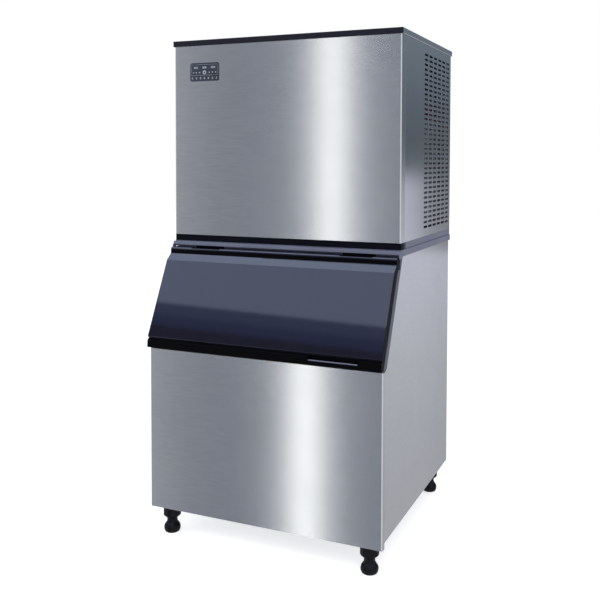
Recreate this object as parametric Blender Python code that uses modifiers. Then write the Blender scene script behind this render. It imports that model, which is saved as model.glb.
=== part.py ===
"""Flake ice machine: an ice-making head standing on an insulated storage bin.

Metres, +Z up, +X to the right as one faces the machine, front towards -Y.
The origin is on the floor, under the middle of the machine.
"""

import math

import bmesh
import bpy
from mathutils import Matrix, Vector

# Driving dimensions of the whole machine.
WIDTH = 0.760
HEAD_DEPTH = 0.572
HEAD_HEIGHT = 0.638
BIN_INSET = 0.0035
BIN_HEIGHT = 0.803
LEG_HEIGHT = 0.101
DOOR_REACH = 0.1655
BACK_REACH = 0.020
SHEET = 0.0015
GAP = 0.0003
CUT_PAST = 0.05

# Head casing.
LID_HEIGHT = 0.0175
LID_WALL = 0.0025
LID_OVERHANG = 0.004
LID_EDGE = 0.0015
BAND_HEIGHT = 0.019
BAND_WALL = 0.003
BAND_WRAP = 0.030
RAIL_START = 0.048
FRONT_WRAP = 0.034
PAN_WALL = 0.002
PAN_HEIGHT = 0.0185
POST_LEG = 0.025
POST_SHEET = 0.002
FOLD_RADIUS = 0.004

# Cooling slots in the right side panel.
SLOT_COLUMNS = 6
SLOT_LENGTH = 0.042
SLOT_HEIGHT = 0.0075
SLOT_ROW_PITCH = 0.01544
SLOT_COLUMN_PITCH = 0.0537
SLOT_FIELD_REAR = 0.0425
SLOT_FIELD_LOW = 0.0295
SLOT_FIELD_TOP = 0.045

# Exhaust grille in the back panel.
GRILLE_SLOT_LENGTH = 0.230
GRILLE_SLOT_HEIGHT = 0.009
GRILLE_PITCH = 0.022
GRILLE_X = 0.170
GRILLE_LOW = 0.180
GRILLE_TOP_MARGIN = 0.140

# Cord gland in the back panel.
GLAND_INSET = 0.130
GLAND_RISE = 0.0857
GLAND_RADIUS = 0.011
GLAND_BORE = 0.0055
GLAND_DEPTH = 0.012
GLAND_REACH = 0.018
GLAND_NUT_RADIUS = 0.01485
GLAND_NUT = 0.006

# Display panel in the front, measured from the head's left side and its top.
DISPLAY_INSET = 0.110
DISPLAY_DROP = 0.101
DISPLAY_WIDTH = 0.104
DISPLAY_HEIGHT = 0.058
DISPLAY_PROUD = 0.0015
DISPLAY_RIM = 0.004
DISPLAY_DEPTH = 0.018
DISPLAY_CORNER = 0.006

# Bin body.
BIN_SETBACK = 0.017
PANEL_DROP = 0.3223
APRON = 0.014
APRON_WRAP = 0.018
BASE_SHEET = 0.002
INSULATION = 0.050
LINER_WALL = 0.003
TRIM_HEIGHT = 0.0185
TRIM_OVERHANG = 0.0035
TRIM_SETBACK = 0.002
TRIM_SIDE_BORDER = 0.080
TRIM_END_BORDER = 0.046
DRAIN_RADIUS = 0.011
DRAIN_BORE = 0.008
DRAIN_ABOVE_FLOOR = 0.020

# Door and its frame; the slope is the door's face, leaning back from its foot.
# Each drop is measured down from the bin's top.
SLOPE = math.radians(25.7)
BAND_PROUD = 0.0033
SLOPE_FOOT_DROP = 0.2834
DOOR_OVERLAP = 0.0015
DOOR_LOW_DROP = 0.3165
DOOR_TOP_DROP = 0.020
DOOR_LIP_REACH = 0.031
DOOR_LIP_HEIGHT = 0.0196
DOOR_LIP_ROUND = 0.007
CHAMFER_HEIGHT = 0.0195
DOOR_SKIN = 0.003
DOOR_BUILD = 0.030
GASKET_BUILD = 0.004
FRAME_BUILD = 0.0268
GROOVE_DEPTH = 0.0075
BAND_DROP = 0.2932
BAND_LEAN = 0.0017
OPENING_BORDER = 0.056
OPENING_LOW_DROP = 0.272
OPENING_HIGH_DROP = 0.069
SHOULDER_DROP = 0.056
PLUG_CLEARANCE = 0.014
PLUG_DEPTH = 0.014
PAN_BUILD = 0.004
GASKET_BORDER = 0.010
GASKET_INNER = 0.006

# Handle pocket in the door's bottom band.
HANDLE_INSET = 0.143
HANDLE_WIDTH = 0.150
HANDLE_LIP_DROP = 0.009
HANDLE_LIP_WALL = 0.003
HANDLE_POCKET_DEPTH = 0.0095
HANDLE_FLOOR_DROP = 0.3085
HANDLE_WALL = 0.0025

# Door hinges.
HINGE_INSET = 0.126
HINGE_SLOT_WIDTH = 0.103
HINGE_SETBACK = 0.015
HINGE_DROP = 0.013
KNUCKLE_RADIUS = 0.0055
KNUCKLE_WIDTH = 0.044
PIN_RADIUS = 0.0027
PIN_CLEARANCE = 0.0003
EAR_WALL = 0.004
HINGE_LEAF = 0.002

# Legs.
LEG_INSET = 0.0495
LEG_FRONT_INSET = 0.0415
LEG_BACK_INSET = 0.045
SLEEVE_RADIUS = 0.0275
FOOT_HEIGHT = 0.0514
STEM_RADIUS = 0.008
STEM_DROP = 0.012
FOOT_STEPS = 16

# Ice maker, placed from the machine's middle and the head's front.
MAKER_X = -0.165
MAKER_Y = 0.250
GEAR_RADIUS = 0.074
GEAR_HEIGHT = 0.130
DRIVE_RADIUS = 0.046
DRIVE_LENGTH = 0.190
BARREL_HEIGHT = 0.330
BARREL_RADIUS = 0.062
BARREL_FLANGE = 0.008
BARREL_BORE = 0.0455
AUGER_CLEARANCE = 0.001
AUGER_SHAFT = 0.016
AUGER_PITCH = 0.060
AUGER_TURNS = 5
AUGER_STEPS = 14
FLIGHT_THICKNESS = 0.007
BREAKER_HEIGHT = 0.064
BREAKER_RADIUS = 0.066
BREAKER_WALL = 0.018
PORT_WIDTH = 0.060
CHUTE_WIDTH = 0.110
CHUTE_WALL = 0.003
CHUTE_MOUTH = 0.058
CHUTE_TAIL = 0.012

# Water reservoir and float.
RESERVOIR_WIDTH = 0.120
RESERVOIR_LENGTH = 0.110
RESERVOIR_HEIGHT = 0.100
RESERVOIR_DROP = 0.2623
RESERVOIR_CLEARANCE = 0.0015
RESERVOIR_WALL = 0.003
VALVE_WIDTH = 0.026
VALVE_LENGTH = 0.020
VALVE_HEIGHT = 0.028
VALVE_EAR = 0.003
FLOAT_PIN_RADIUS = 0.002
FLOAT_REACH = 0.042
FLOAT_SINK = 0.040
FLOAT_RADIUS = 0.017
FLOAT_LENGTH = 0.050
ARM_WIDTH = 0.006
INLET_INSET = 0.130
INLET_RISE = 0.0857
INLET_RADIUS = 0.010
INLET_BORE = 0.005
INLET_DEPTH = 0.030

# Refrigeration.
COMPRESSOR_INSET = 0.200
COMPRESSOR_Y = 0.112
COMPRESSOR_RADIUS = 0.085
COMPRESSOR_HEIGHT = 0.205
MOUNT_HEIGHT = 0.030
TERMINAL_HALF = 0.030
TERMINAL_REACH = 0.020
TERMINAL_LOW = 0.070
TERMINAL_HEIGHT = 0.060
CONDENSER_INSET = 0.078
CONDENSER_THICKNESS = 0.038
CONDENSER_TAIL = 0.027
CONDENSER_LENGTH = 0.300
CONDENSER_RISE = 0.0407
CONDENSER_HEIGHT = 0.355
FIN_PITCH = 0.010
FIN_THICKNESS = 0.004
FIN_DEPTH = 0.008
END_PLATE = 0.002
END_PLATE_LIP = 0.004
COIL_TAIL = 0.025
SHROUD_DEPTH = 0.018
FAN_RADIUS = 0.127
FAN_CLEARANCE = 0.005
FAN_SETBACK = 0.010
FAN_HUB_RADIUS = 0.025
FAN_HUB_LENGTH = 0.028
FAN_BLADES = 5
BLADE_THICKNESS = 0.002
FAN_MOTOR_RADIUS = 0.040
FAN_MOTOR_LENGTH = 0.058
FAN_SHAFT_RADIUS = 0.004
STRAP_WIDTH = 0.024
STRAP_SHEET = 0.0035
DRIER_X = 0.080
DRIER_INSET = 0.092
DRIER_RADIUS = 0.019
DRIER_LENGTH = 0.110
DRIER_RISE = 0.0557
PIPE_RADIUS = 0.005
SUCTION_RADIUS = 0.008
WATER_RADIUS = 0.006
PIPE_TOP_RISE = 0.4407
PIPE_LOW_RISE = 0.0307
BEND_RADIUS = 0.022
FEED_RISE = 0.060
SUCTION_DROP = 0.050
SUCTION_SPACE = 0.025
SUCTION_INLET_DROP = 0.100
HOSE_SPACE = 0.032
HOSE_RISE = 0.060

# Control box.
CONTROL_WIDTH = 0.200
CONTROL_DEPTH = 0.082
CONTROL_DROP = 0.2223
CONTROL_HEIGHT = 0.180
CONTROL_COVER = 0.004

# Planes that follow from the driving dimensions.
HALF = WIDTH / 2
DEPTH = DOOR_REACH + HEAD_DEPTH + BACK_REACH
HEAD_FRONT = DOOR_REACH - DEPTH / 2
HEAD_BACK = HEAD_FRONT + HEAD_DEPTH
BIN_TOP = LEG_HEIGHT + BIN_HEIGHT
PANEL_TOP = BIN_TOP - PANEL_DROP
SLOPE_FOOT = BIN_TOP - SLOPE_FOOT_DROP
DOOR_LOW = BIN_TOP - DOOR_LOW_DROP
DOOR_TOP = BIN_TOP - DOOR_TOP_DROP
BAND_TOP = BIN_TOP - BAND_DROP
OPENING_LOW = BIN_TOP - OPENING_LOW_DROP
OPENING_HIGH = BIN_TOP - OPENING_HIGH_DROP
FRAME_SHOULDER = BIN_TOP - SHOULDER_DROP
HANDLE_FLOOR = BIN_TOP - HANDLE_FLOOR_DROP
TRIM_BOTTOM = BIN_TOP - TRIM_HEIGHT
HEAD_FLOOR = BIN_TOP + GAP
HEAD_TOP = HEAD_FLOOR + HEAD_HEIGHT
PANEL_LOW = HEAD_FLOOR + BAND_HEIGHT + GAP
PANEL_HIGH = HEAD_TOP - LID_WALL - GAP
PAN_TOP = HEAD_FLOOR + PAN_WALL
POST_X = HALF - BAND_WALL - PAN_WALL - GAP * 4
POST_FRONT = HEAD_FRONT + BAND_WALL + PAN_WALL + GAP * 4
POST_BACK = HEAD_BACK - SHEET - PAN_WALL - GAP * 3
BIN_HALF = HALF - BIN_INSET
BIN_REACH = DOOR_REACH - BIN_SETBACK
BIN_FRONT = HEAD_FRONT - BIN_REACH
SLOPE_REACH = DOOR_REACH - BAND_PROUD
BIN_BACK = HEAD_BACK
DOOR_HALF = BIN_HALF + DOOR_OVERLAP
OPENING_HALF = DOOR_HALF - OPENING_BORDER
HANDLE_X = DOOR_HALF - HANDLE_INSET
HINGE_X = DOOR_HALF - HINGE_INSET
DISPLAY_X = DISPLAY_INSET - HALF
GLAND_X = HALF - GLAND_INSET
GLAND_Z = HEAD_FLOOR + GLAND_RISE
FRAME_INSET = DOOR_BUILD + GASKET_BUILD
BODY_INSET = FRAME_INSET + FRAME_BUILD
HINGE_Y = HEAD_FRONT - HINGE_SETBACK
HINGE_Z = DOOR_TOP - HINGE_DROP
HINGE_FACE = HEAD_FRONT + TRIM_SETBACK
LINER_HALF = BIN_HALF - INSULATION
LINER_FLOOR = LEG_HEIGHT + INSULATION
LINER_FRONT = BIN_FRONT + INSULATION
LINER_BACK = BIN_BACK - INSULATION
DRAIN_Z = LINER_FLOOR + DRAIN_ABOVE_FLOOR
MAKER_AXIS_Y = HEAD_FRONT + MAKER_Y
GEAR_TOP = PAN_TOP + GAP + GEAR_HEIGHT
BARREL_LOW = GEAR_TOP + GAP
BARREL_HIGH = BARREL_LOW + BARREL_HEIGHT
BREAKER_HIGH = BARREL_HIGH + GAP + BREAKER_HEIGHT
BARREL_RIM = BARREL_RADIUS + BARREL_FLANGE
COMPRESSOR_X = HALF - COMPRESSOR_INSET
CONDENSER_X = HALF - CONDENSER_INSET
CONDENSER_BACK = HEAD_BACK - CONDENSER_TAIL
CONDENSER_FRONT = CONDENSER_BACK - CONDENSER_LENGTH
CONDENSER_LOW = HEAD_FLOOR + CONDENSER_RISE
CONDENSER_HIGH = CONDENSER_LOW + CONDENSER_HEIGHT
FAN_Y = CONDENSER_FRONT + CONDENSER_LENGTH / 2
FAN_Z = CONDENSER_LOW + CONDENSER_HEIGHT / 2
SHROUD_RIGHT = CONDENSER_X - END_PLATE_LIP - GAP
SHROUD_LEFT = SHROUD_RIGHT - SHROUD_DEPTH
FAN_X = SHROUD_LEFT - FAN_SETBACK
DRIER_Y = HEAD_BACK - DRIER_INSET
DRIER_LOW = HEAD_FLOOR + DRIER_RISE
PIPE_TOP = HEAD_FLOOR + PIPE_TOP_RISE
PIPE_LOW = HEAD_FLOOR + PIPE_LOW_RISE
CONTROL_LOW = HEAD_TOP - CONTROL_DROP
INLET_X = INLET_INSET - HALF
INLET_Z = HEAD_FLOOR + INLET_RISE
RESERVOIR_LEFT = -(HALF - SHEET - GAP)
RESERVOIR_FRONT = MAKER_AXIS_Y - BARREL_RIM - RESERVOIR_CLEARANCE - RESERVOIR_LENGTH
RESERVOIR_Z = HEAD_TOP - RESERVOIR_DROP
RESERVOIR_TOP = RESERVOIR_Z + RESERVOIR_HEIGHT
VALVE_X = RESERVOIR_LEFT + RESERVOIR_WIDTH / 2
FLOAT_PIN_Y = RESERVOIR_FRONT + VALVE_LENGTH + 0.006
FLOAT_PIN_Z = RESERVOIR_TOP + 0.008
LEG_X = BIN_HALF - LEG_INSET
LEG_PLACES = {
    "front_left": (-LEG_X, BIN_FRONT + LEG_FRONT_INSET),
    "front_right": (LEG_X, BIN_FRONT + LEG_FRONT_INSET),
    "back_left": (-LEG_X, HEAD_BACK - LEG_BACK_INSET),
    "back_right": (LEG_X, HEAD_BACK - LEG_BACK_INSET),
}

# Finishes: name, red, green, blue, roughness, metallic.
FINISHES = {
    "brushed_stainless": (0.56, 0.58, 0.61, 0.32, 1.0),
    "galvanised": (0.45, 0.47, 0.50, 0.45, 1.0),
    "black_lid": (0.010, 0.010, 0.016, 0.38, 0.0),
    "black_band": (0.008, 0.009, 0.012, 0.40, 0.0),
    "grey_trim": (0.11, 0.12, 0.16, 0.35, 0.0),
    "door_black": (0.012, 0.013, 0.022, 0.18, 0.0),
    "frame_grey": (0.05, 0.055, 0.075, 0.35, 0.0),
    "display_black": (0.020, 0.024, 0.032, 0.25, 0.0),
    "liner_white": (0.72, 0.74, 0.76, 0.40, 0.0),
    "foam": (0.78, 0.70, 0.45, 0.90, 0.0),
    "gasket_rubber": (0.015, 0.015, 0.015, 0.75, 0.0),
    "leg_black": (0.010, 0.010, 0.012, 0.45, 0.0),
    "zinc": (0.50, 0.51, 0.53, 0.35, 1.0),
    "casting": (0.42, 0.43, 0.45, 0.50, 1.0),
    "motor_paint": (0.030, 0.033, 0.036, 0.45, 0.0),
    "copper": (0.72, 0.32, 0.18, 0.30, 1.0),
    "pipe_foam": (0.02, 0.02, 0.02, 0.85, 0.0),
    "fin_aluminium": (0.60, 0.62, 0.64, 0.35, 1.0),
    "clear_hose": (0.80, 0.83, 0.85, 0.30, 0.0),
}


def clear_scene():
    """Start from an empty scene."""
    for item in list(bpy.data.objects):
        bpy.data.objects.remove(item, do_unlink=True)


def new_collection(name):
    """A collection of the scene, made once."""
    group = bpy.data.collections.new(name)
    bpy.context.scene.collection.children.link(group)
    return group


def finish(name, finish_name):
    """A Principled material of its own for one sub-part."""
    red, green, blue, roughness, metallic = FINISHES[finish_name]
    coat = bpy.data.materials.new(name)
    coat.use_nodes = True
    shader = coat.node_tree.nodes["Principled BSDF"]
    shader.inputs["Base Color"].default_value = (red, green, blue, 1)
    shader.inputs["Roughness"].default_value = roughness
    shader.inputs["Metallic"].default_value = metallic
    return coat


def settle(item, name, finish_name):
    """Name an object and put it with the parts, or with the cutters when it has no finish."""
    item.name = name
    item.data.name = name
    for group in list(item.users_collection):
        group.objects.unlink(item)
    if finish_name is None:
        CUTTERS.objects.link(item)
        item.hide_render = True
        item.display_type = "WIRE"
    else:
        PARTS.objects.link(item)
        item.data.materials.clear()
        item.data.materials.append(finish(name, finish_name))
    return item


def box(name, low, high, finish_name=None, edge=0.0):
    """A box between two corners, with its long edges eased when edge is given."""
    size = [top - bottom for bottom, top in zip(low, high)]
    middle = [(top + bottom) / 2 for bottom, top in zip(low, high)]
    bpy.ops.mesh.primitive_cube_add(size=1, location=middle)
    item = bpy.context.active_object
    item.data.transform(Matrix.Diagonal((*size, 1)))
    if edge > 0:
        bevel = item.modifiers.new("eased edges", "BEVEL")
        bevel.width = edge
        bevel.segments = 2
    return settle(item, name, finish_name)


def rod(name, start, end, radius, finish_name=None, sides=20):
    """A round bar from one point to another."""
    start = Vector(start)
    run = Vector(end) - start
    bpy.ops.mesh.primitive_cylinder_add(
        vertices=sides, radius=radius, depth=run.length, location=start + run / 2
    )
    item = bpy.context.active_object
    item.rotation_mode = "QUATERNION"
    item.rotation_quaternion = Vector((0, 0, 1)).rotation_difference(run)
    smooth(item)
    return settle(item, name, finish_name)


def smooth(item):
    """Shade a round piece smooth between its sharp edges."""
    item.data.shade_smooth()
    item.data.set_sharp_from_angle(angle=math.radians(35))


def mesh_from(drawing):
    """The evaluated curve as a welded mesh in an object of its own."""
    bpy.context.scene.collection.objects.link(drawing)
    bpy.context.view_layer.update()
    graph = bpy.context.evaluated_depsgraph_get()
    mesh = bpy.data.meshes.new_from_object(drawing.evaluated_get(graph))
    item = bpy.data.objects.new(drawing.name, mesh)
    item.matrix_world = drawing.matrix_world
    bpy.data.objects.remove(drawing, do_unlink=True)
    work = bmesh.new()
    work.from_mesh(mesh)
    bmesh.ops.remove_doubles(work, verts=work.verts, dist=1e-6)
    bmesh.ops.recalc_face_normals(work, faces=work.faces)
    work.to_mesh(mesh)
    work.free()
    return item


# How a flat outline stands when it is pushed out along each axis.
STANDING = {
    "X": Matrix(((0, 0, 1, 0), (1, 0, 0, 0), (0, 1, 0, 0), (0, 0, 0, 1))),
    "Y": Matrix(((1, 0, 0, 0), (0, 0, -1, 0), (0, 1, 0, 0), (0, 0, 0, 1))),
    "Z": Matrix.Identity(4),
}
AXES = {"X": Vector((1, 0, 0)), "Y": Vector((0, 1, 0)), "Z": Vector((0, 0, 1))}


def prism(name, loops, axis, start, end, finish_name=None):
    """A flat outline, with holes as further loops, pushed out along an axis."""
    drawing = bpy.data.curves.new(name, "CURVE")
    drawing.dimensions = "2D"
    drawing.fill_mode = "BOTH"
    drawing.extrude = (end - start) / 2
    for loop in loops:
        spline = drawing.splines.new("POLY")
        spline.points.add(len(loop) - 1)
        for point, (across, up) in zip(spline.points, loop):
            point.co = (across, up, 0, 1)
        spline.use_cyclic_u = True
    item = bpy.data.objects.new(name, drawing)
    place = Matrix.Translation(AXES[axis] * (start + end) / 2)
    item.matrix_world = place @ STANDING[axis]
    return settle(mesh_from(item), name, finish_name)


def rounded(corners, steps=3):
    """A closed outline from corners (across, up, radius), each rounded by its own arc."""
    outline = []
    for index, (across, up, radius) in enumerate(corners):
        here = Vector((across, up))
        if radius == 0:
            outline.append((across, up))
            continue
        before = (Vector(corners[index - 1][:2]) - here).normalized()
        after = (Vector(corners[(index + 1) % len(corners)][:2]) - here).normalized()
        half = before.angle(after) / 2
        reach = radius / math.tan(half)
        centre = here + (before + after).normalized() * (radius / math.sin(half))
        begin = here + before * reach - centre
        end = here + after * reach - centre
        first = math.atan2(begin.y, begin.x)
        turn = math.atan2(end.y, end.x) - first
        turn = (turn + math.pi) % (2 * math.pi) - math.pi
        for step in range(steps + 1):
            angle = first + turn * step / steps
            outline.append(
                (centre.x + radius * math.cos(angle), centre.y + radius * math.sin(angle))
            )
    return outline


def rectangle(low, high, radius=0.0):
    """A rectangular outline between two corners."""
    (left, bottom), (right, top) = low, high
    corners = [(left, bottom), (right, bottom), (right, top), (left, top)]
    return rounded([(across, up, radius) for across, up in corners])


def ring(centre, radius, steps=20):
    """A round outline."""
    turn = 2 * math.pi / steps
    return [
        (centre[0] + radius * math.cos(turn * step), centre[1] + radius * math.sin(turn * step))
        for step in range(steps)
    ]


def channel(half_width, front, wrap, wall, radius):
    """The plan of a folded front: a face with a flange wrapped back at each end."""
    inner = max(radius - wall, 0)
    back = front + wrap
    return rounded(
        [
            (-half_width, back, 0),
            (-half_width, front, radius),
            (half_width, front, radius),
            (half_width, back, 0),
            (half_width - wall, back, 0),
            (half_width - wall, front + wall, inner),
            (-half_width + wall, front + wall, inner),
            (-half_width + wall, back, 0),
        ]
    )


def turned(name, profile, place, finish_name=None, steps=20, along="Z"):
    """A turned shape: a profile of (radius, height) spun round an axis through place."""
    mesh = bpy.data.meshes.new(name)
    work = bmesh.new()
    points = [work.verts.new((radius, 0, height)) for radius, height in profile]
    for first, second in zip(points, points[1:]):
        work.edges.new((first, second))
    if profile[0][0] > 0:
        work.edges.new((points[-1], points[0]))
    work.to_mesh(mesh)
    work.free()
    item = bpy.data.objects.new(name, mesh)
    item.location = place
    if along == "Y":
        item.rotation_euler = (-math.pi / 2, 0, 0)
    screw = item.modifiers.new("turn", "SCREW")
    screw.steps = steps
    screw.render_steps = steps
    screw.use_merge_vertices = True
    screw.merge_threshold = 1e-6
    screw.use_smooth_shade = True
    return settle(item, name, finish_name)


def bent(points, radius, steps=3):
    """A route through 3D points whose corners are bent to a radius."""
    route = [Vector(points[0])]
    for before, here, after in zip(points, points[1:], points[2:]):
        here = Vector(here)
        back = (Vector(before) - here).normalized()
        ahead = (Vector(after) - here).normalized()
        half = back.angle(ahead) / 2
        reach = radius / math.tan(half)
        centre = here + (back + ahead).normalized() * (radius / math.sin(half))
        begin = (here + back * reach - centre).normalized()
        end = (here + ahead * reach - centre).normalized()
        for step in range(steps + 1):
            route.append(centre + begin.slerp(end, step / steps) * radius)
    route.append(Vector(points[-1]))
    return route


def pipe(name, points, radius, finish_name=None, bend=BEND_RADIUS):
    """A round pipe along a bent route, with closed ends."""
    drawing = bpy.data.curves.new(name, "CURVE")
    drawing.dimensions = "3D"
    drawing.bevel_depth = radius
    drawing.bevel_resolution = 1
    drawing.use_fill_caps = True
    spline = drawing.splines.new("POLY")
    route = bent(points, bend)
    spline.points.add(len(route) - 1)
    for point, place in zip(spline.points, route):
        point.co = (*place, 1)
    item = mesh_from(bpy.data.objects.new(name, drawing))
    smooth(item)
    return settle(item, name, finish_name)


def boolean(item, operation, tools):
    """Cut an object with other solids, or join them to it."""
    for tool in tools:
        change = item.modifiers.new(tool.name, "BOOLEAN")
        change.operation = operation
        change.solver = "EXACT"
        change.object = tool
    return item


def cut(item, *tools):
    """Take other solids out of an object."""
    return boolean(item, "DIFFERENCE", tools)


def unite(item, *tools):
    """Join other solids to an object as one piece."""
    return boolean(item, "UNION", tools)


def slope_y(height, inset):
    """Where a plane parallel to the door's face, that far behind it, stands at a height."""
    return HEAD_FRONT - SLOPE_REACH + (height - SLOPE_FOOT) * math.tan(SLOPE) + inset


def sloping(low, high, front_inset, back_inset):
    """The side view of a slab that leans with the door."""
    return [
        (slope_y(low, front_inset), low),
        (slope_y(low, back_inset), low),
        (slope_y(high, back_inset), high),
        (slope_y(high, front_inset), high),
    ]


# Bin body.


def bin_outline(front, back, low, high, step_inset):
    """The side view of the bin body: upright front, then the slope that the door frame lies on."""
    return [
        (front, low),
        (back, low),
        (back, high),
        (slope_y(high, step_inset), high),
        (slope_y(PANEL_TOP, step_inset), PANEL_TOP),
        (front, PANEL_TOP),
    ]


def build_bin_panels():
    """The sheet-metal skin of the bin: sides, back, front and base."""
    top = TRIM_BOTTOM - GAP
    outline = bin_outline(BIN_FRONT + FOLD_RADIUS + GAP, BIN_BACK, LEG_HEIGHT, top, BODY_INSET)
    for side, left in (("left", -BIN_HALF), ("right", BIN_HALF - SHEET)):
        prism(f"bin_side_panel_{side}", [outline], "X", left, left + SHEET, "brushed_stainless")
    inside = BIN_HALF - SHEET - GAP
    back = box(
        "bin_back_panel",
        (-inside, BIN_BACK - SHEET, LEG_HEIGHT),
        (inside, BIN_BACK, top),
        "galvanised",
    )
    cut(back, drain_hole("cut_drain_back"))
    plan = channel(BIN_HALF + GAP + SHEET, BIN_FRONT, APRON_WRAP, SHEET, FOLD_RADIUS)
    prism(
        "bin_front_panel", [plan], "Z", LEG_HEIGHT - APRON, PANEL_TOP, "brushed_stainless"
    )
    box(
        "bin_base_panel",
        (-inside, BIN_FRONT + SHEET + GAP, LEG_HEIGHT),
        (inside, BIN_BACK - SHEET - GAP, LEG_HEIGHT + BASE_SHEET),
        "galvanised",
    )


def drain_hole(name):
    """The round way through the back walls for the drain."""
    return rod(
        name,
        (0, LINER_BACK - CUT_PAST, DRAIN_Z),
        (0, BIN_BACK + CUT_PAST, DRAIN_Z),
        DRAIN_RADIUS + GAP,
    )


def liner_outline(grow, reach):
    """The side view of the liner grown by a little, run past its open top and slope by reach."""
    low = LINER_FLOOR - grow
    front = LINER_FRONT - grow
    back = LINER_BACK + grow
    high = TRIM_BOTTOM - GAP + reach
    inset = BODY_INSET + GAP - reach
    meet = SLOPE_FOOT + (front - slope_y(SLOPE_FOOT, inset)) / math.tan(SLOPE)
    return [(front, low), (back, low), (back, high), (slope_y(high, inset), high), (front, meet)]


def build_bin_insulation():
    """The foam that fills the walls between the sheet-metal skin and the liner."""
    half = BIN_HALF - SHEET - GAP
    outline = bin_outline(
        BIN_FRONT + SHEET + GAP,
        BIN_BACK - SHEET - GAP,
        LEG_HEIGHT + BASE_SHEET + GAP,
        TRIM_BOTTOM - GAP,
        BODY_INSET + GAP,
    )
    foam = prism("bin_insulation", [outline], "X", -half, half, "foam")
    room = LINER_HALF + GAP
    hollow = prism("cut_insulation", [liner_outline(GAP, CUT_PAST)], "X", -room, room)
    cut(foam, hollow, drain_hole("cut_drain_foam"))


def build_bin_liner():
    """The moulded white liner, open at the top and at the sloping front."""
    liner = prism("bin_liner", [liner_outline(0, 0)], "X", -LINER_HALF, LINER_HALF, "liner_white")
    inner = LINER_HALF - LINER_WALL
    hollow = prism("cut_liner", [liner_outline(-LINER_WALL, CUT_PAST)], "X", -inner, inner)
    cut(liner, hollow, drain_hole("cut_drain_liner"))


def build_bin_drain():
    """The drain pipe stub, low in the bin's back wall."""
    length = BACK_REACH + INSULATION + LINER_WALL
    profile = [
        (DRAIN_BORE, length),
        (DRAIN_RADIUS, length),
        (DRAIN_RADIUS, 0),
        (DRAIN_BORE, 0),
    ]
    start = BIN_BACK + BACK_REACH - length
    turned("bin_drain", profile, (0, start, DRAIN_Z), "liner_white", along="Y")


def build_bin_top_trim():
    """The moulded rim on the bin's top edge that carries the head."""
    half = HALF + TRIM_OVERHANG
    front = HEAD_FRONT + TRIM_SETBACK
    outer = rectangle((-half, front), (half, BIN_BACK), FOLD_RADIUS)
    opening = rectangle(
        (-half + TRIM_SIDE_BORDER, front + TRIM_END_BORDER),
        (half - TRIM_SIDE_BORDER, BIN_BACK - TRIM_END_BORDER),
        0.010,
    )
    prism("bin_top_trim", [outer, opening], "Z", TRIM_BOTTOM, BIN_TOP, "grey_trim")


# Door frame, hinges and door.


def opening_cutter(name, margin, low_margin, high_margin):
    """A way straight through the slope, as wide and high as the bin's mouth and a margin."""
    half = OPENING_HALF + margin
    return box(
        name,
        (-half, HEAD_FRONT - DOOR_REACH, OPENING_LOW - low_margin),
        (half, HEAD_FRONT + BODY_INSET, OPENING_HIGH + high_margin),
    )


def build_door_frame():
    """The moulded frame round the bin's mouth, cut back at its top for the hinges."""
    outline = [
        (slope_y(DOOR_LOW, FRAME_INSET), DOOR_LOW),
        (slope_y(DOOR_LOW, BODY_INSET - GAP), DOOR_LOW),
        (slope_y(DOOR_TOP, BODY_INSET - GAP), DOOR_TOP),
        (HINGE_FACE, DOOR_TOP),
        (HINGE_FACE, FRAME_SHOULDER),
        (slope_y(FRAME_SHOULDER, FRAME_INSET), FRAME_SHOULDER),
    ]
    frame = prism("bin_door_frame", [outline], "X", -DOOR_HALF, DOOR_HALF, "frame_grey")
    cut(frame, opening_cutter("cut_mouth", 0, 0, 0))


def hinge_outline():
    """The side view of a hinge bracket: a leaf, an arm and the knuckle at its end."""
    back = HINGE_FACE - GAP
    face = back - HINGE_LEAF
    arc = [
        (
            HINGE_Y - KNUCKLE_RADIUS * math.sin(math.pi * step / 8),
            HINGE_Z + KNUCKLE_RADIUS * math.cos(math.pi * step / 8),
        )
        for step in range(9)
    ]
    return [
        (back, FRAME_SHOULDER + 0.002),
        (back, HINGE_Z + KNUCKLE_RADIUS),
        *arc,
        (face, HINGE_Z - KNUCKLE_RADIUS),
        (face, FRAME_SHOULDER + 0.002),
    ]


def build_hinges():
    """Two brackets on the frame, and the pins that the door turns on."""
    hole = ring((HINGE_Y, HINGE_Z), PIN_RADIUS + PIN_CLEARANCE, 12)
    half = KNUCKLE_WIDTH / 2
    reach = half + EAR_WALL + 0.003
    for side, middle in (("left", -HINGE_X), ("right", HINGE_X)):
        prism(
            f"hinge_bracket_{side}",
            [hinge_outline(), hole],
            "X",
            middle - half,
            middle + half,
            "zinc",
        )
        rod(
            f"hinge_pin_{side}",
            (middle - reach, HINGE_Y, HINGE_Z),
            (middle + reach, HINGE_Y, HINGE_Z),
            PIN_RADIUS,
            "zinc",
            sides=12,
        )


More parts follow.
